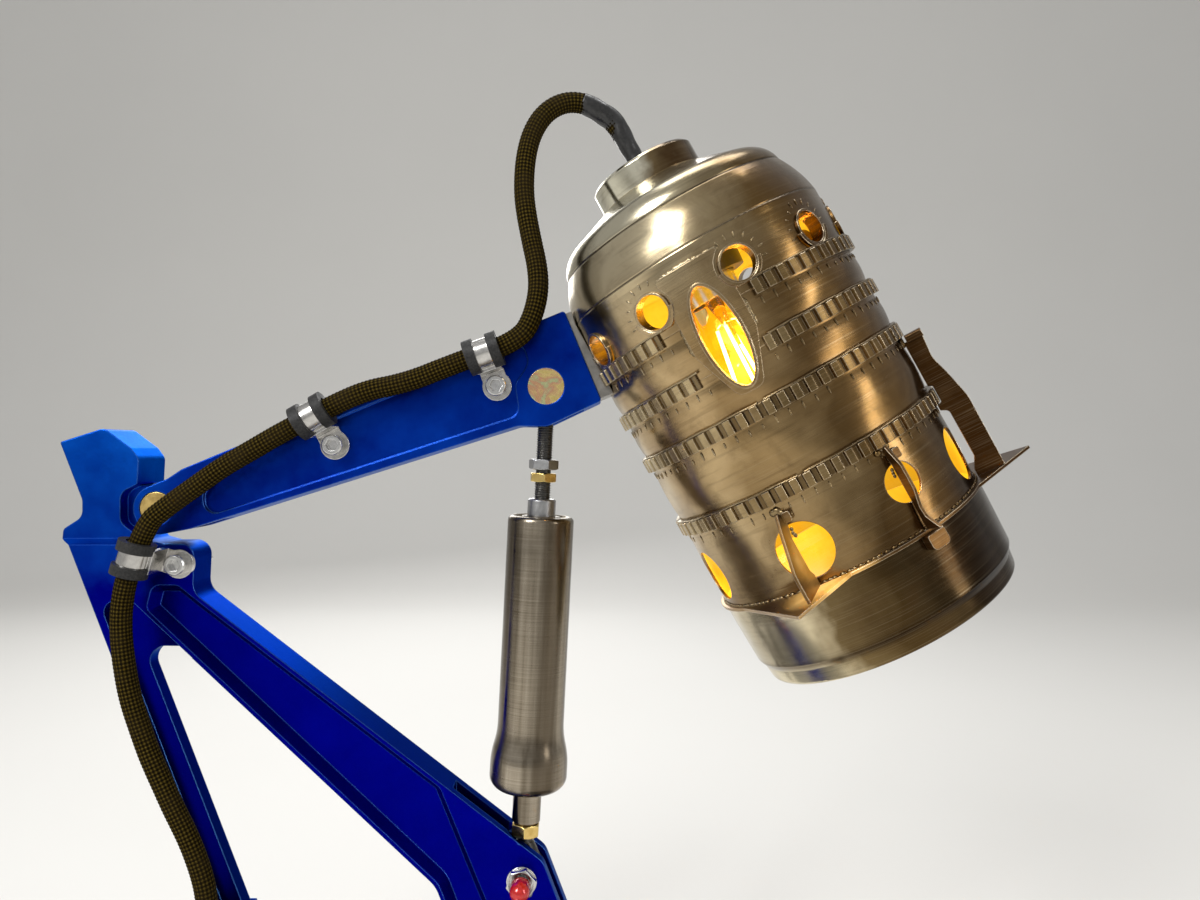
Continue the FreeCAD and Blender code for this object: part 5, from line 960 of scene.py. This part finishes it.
# The turned-up rim along the upper edge of every crimped strip
rims = bmesh.new()
for strip, (oval_gap, arm_gap) in zip(STRIPS, STRIP_GAPS):
    rows = []
    for i in range(RIM_STEPS + 1):
        angle = i * 360.0 / RIM_STEPS
        if abs(angle - OVAL_ANGLE) < oval_gap + 1 or abs(angle - ARM_ANGLE) < arm_gap + 1:
            rows.append(None)
            continue
        top = strip - RIM_REACH + 0.12 * math.sin(angle * 0.37)
        spots = ((0.05, 0.0), (RIM_PROUD, 0.1), (RIM_PROUD + 0.12, 0.35), (RIM_PROUD - 0.05, 0.75),
                 (0.05, 0.85))
        rows.append([rims.verts.new(head_point(SHELL + out, angle, top + down))
                     for out, down in spots])
    bridge(rims, rows)
    for before, row, after in zip(rows, rows[1:], rows[2:]):
        if oval_gap and row and not (before and after):
            rims.faces.new(row)
bmesh.ops.remove_doubles(rims, verts=rims.verts, dist=1e-6)
mesh_piece("strip_rims", mesh_of(rims, "strip_rims"), weld_metal, ARM,
           smooth=False)


def apart(first, second):
    """How far two spots (degrees, station) are from each other on the shell, in mm."""
    return math.hypot((first[0] - second[0]) * math.radians(SHELL), first[1] - second[1])


seams = Beads()
# Round the edge of the oval port's plate, left out where a port's ferrule is in the way
PLATE = 12.6
PLATE_STEPS = 6
FERRULE_CLEAR = 9.6
RUN_BREAK = 7
left, right = OVAL_ANGLE - PLATE, OVAL_ANGLE + PLATE
patch = [(left, 83), (left, 52.4), (OVAL_ANGLE, 51.6), (right, 52.4), (right, 83)]
edge = [(a[0] + (b[0] - a[0]) * t / PLATE_STEPS, a[1] + (b[1] - a[1]) * t / PLATE_STEPS)
        for a, b in zip(patch, patch[1:]) for t in range(PLATE_STEPS)] + [patch[-1]]
runs = []
for spot in edge:
    if min(apart(spot, (port, PORT_STATION)) for port in PORTS) <= FERRULE_CLEAR:
        continue
    if runs and apart(spot, runs[-1][-1]) < RUN_BREAK:
        runs[-1].append(spot)
    else:
        runs.append([spot])
for run in runs:
    if len(run) > 1:
        seams.line(*skin_line(run), (1.0, 0.95, 0.6), 1.0)
# A heap of weld above each of five gussets and tabs, and a line down both sides of four of them
for theta, top, count in ((117.3, 149.5, 9), (243.0, 149.5, 9), (72.8, 145.2, 7), (-64.0, 145.2, 7),
                          (21.0, 116.0, 8)):
    for i in range(count):
        angle = theta + random.uniform(-3.0, 3.0)
        station = top + random.uniform(-2.2, 2.2)
        seams.lump(on_skin(angle, station, 0.2), HEAD_Z, outward(angle), (1.5, 1.3, 0.9))
for theta, start in ((117.3, 156.0), (243.0, 156.0), (72.8, 154.0), (-64.0, 154.0)):
    for side in (-1, 1):
        angle = theta + side * 0.95
        stretch = [(angle, start), (angle, start + 4.0)]
        seams.line(*skin_line(stretch), (0.9, 0.7, 0.5), 1.1)
# All round the flange
FLANGE_BEADS = 140
for i in range(FLANGE_BEADS):
    angle = i * 360.0 / FLANGE_BEADS + random.uniform(-0.6, 0.6)
    seams.lump(head_point(SHELL + 0.35, angle, FLANGE - 0.25), outward(angle + 90), outward(angle),
               (1.15, 0.7, 0.45))
seams.done("weld_seams")

# The stud's thread above and below the lock nuts: a ridge that winds down it, in mm
THREAD_PITCH = 1.0
THREAD_STEPS = 20
THREAD_FADE = 10
STUD = 3.1
strut_side = ACROSS.cross(STRUT_WAY)
thread = bmesh.new()
for start, end in ((15.5, 30.2), (40.2, 47.0)):
    rings = []
    count = int((end - start) / THREAD_PITCH * THREAD_STEPS)
    for i in range(count + 1):
        along = start + (end - start) * i / count
        angle = 2 * math.pi * along / THREAD_PITCH
        out = strut_side * math.cos(angle) + ACROSS * math.sin(angle)
        fade = min(1.0, i / THREAD_FADE, (count - i) / THREAD_FADE)
        ring = []
        for radius, shift in ((STUD, -0.36), (3.17 + 0.42 * fade, 0.0), (STUD, 0.36)):
            place = STRUT_TOP + STRUT_WAY * (along + shift) + out * radius
            ring.append(thread.verts.new(place / 1000))
        rings.append(ring)
    bridge(thread, rings)
    thread.faces.new(rings[0])
    thread.faces.new(list(reversed(rings[-1])))
mesh_piece("stud_thread", mesh_of(thread, "stud_thread"), dark_steel, "strut_cylinder",
           smooth=False)


# ---- Stage and lights
def stage_paint():
    """A pale, faintly warm and uneven floor that runs up into the backdrop."""
    paint = Paint("floor", Roughness=0.75)
    cloud = paint.noise(paint.coords(), 1.5, 3)
    paint.plug(paint.between(cloud, (0.69, 0.67965, 0.65205), (0.71, 0.69935, 0.67095)),
               "Base Color")
    return paint


# The floor's profile, as (depth, height): flat, then a quarter round, then straight up
FLOOR_BACK = 1.4
FLOOR_BEND = 0.9
FLOOR_SIDE = 9.0
bend = [math.radians(9 * i) for i in range(11)]
profile = [(-6.6, 0.0), (-2.6, 0.0)]
profile += [(FLOOR_BACK + FLOOR_BEND * math.sin(turn), FLOOR_BEND * (1 - math.cos(turn)))
            for turn in bend]
profile += [(FLOOR_BACK + FLOOR_BEND, FLOOR_BEND + rise) for rise in (1.2, 2.4)]
build = bmesh.new()
rows = [[build.verts.new((x, depth, height)) for x in (-FLOOR_SIDE, FLOOR_SIDE)]
        for depth, height in profile]
bridge(build, rows, closed=False)
floor_mesh = mesh_of(build, "floor", turn=False)
mesh_piece("floor", floor_mesh, stage_paint())

world = bpy.data.worlds.new("world")
scene.world = world
world.use_nodes = True
back = world.node_tree.nodes["Background"]
back.inputs["Strength"].default_value = 0.5
back.inputs["Color"].default_value = (1.0, 1.0, 1.0, 1.0)
scene.view_settings.view_transform = "Standard"


def lamp(name, place, target, size, watts):
    """A white rectangular lamp that looks at a target."""
    data = bpy.data.lights.new(name, "AREA")
    data.shape = "RECTANGLE"
    data.size, data.size_y = size
    data.energy = watts
    made = bpy.data.objects.new(name, data)
    made.location = place
    made.rotation_euler = (Vector(target) - Vector(place)).to_track_quat("-Z", "Y").to_euler()
    scene.collection.objects.link(made)


lamp("key_light", (-0.85, -1.05, 1.2), (0.02, 0, 0.28), (0.55, 0.75), 20.0)
lamp("fill_light", (1.25, -0.75, 0.65), (0.05, 0, 0.28), (0.25, 0.9), 5.0)
lamp("top_light", (0.05, 0.25, 1.5), (0.03, 0, 0.3), (0.9, 0.5), 8.0)
lamp("back_light", (-0.3, 1.35, 0.9), (0.0, 0, 0.25), (0.9, 0.7), 8.0)
# The bulb's own light, which rides with the head
bulb_light = bpy.data.lights.new("bulb_light", "POINT")
bulb_light.energy = 1.1
bulb_light.color = (1.0, 0.5, 0.09)
bulb_light.shadow_soft_size = 0.012
bulb_light.use_soft_falloff = True
bulb = bpy.data.objects.new("bulb_light", bulb_light)
bulb.location = head_point(0, 0, 122)
scene.collection.objects.link(bulb)
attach(bulb, ARM)
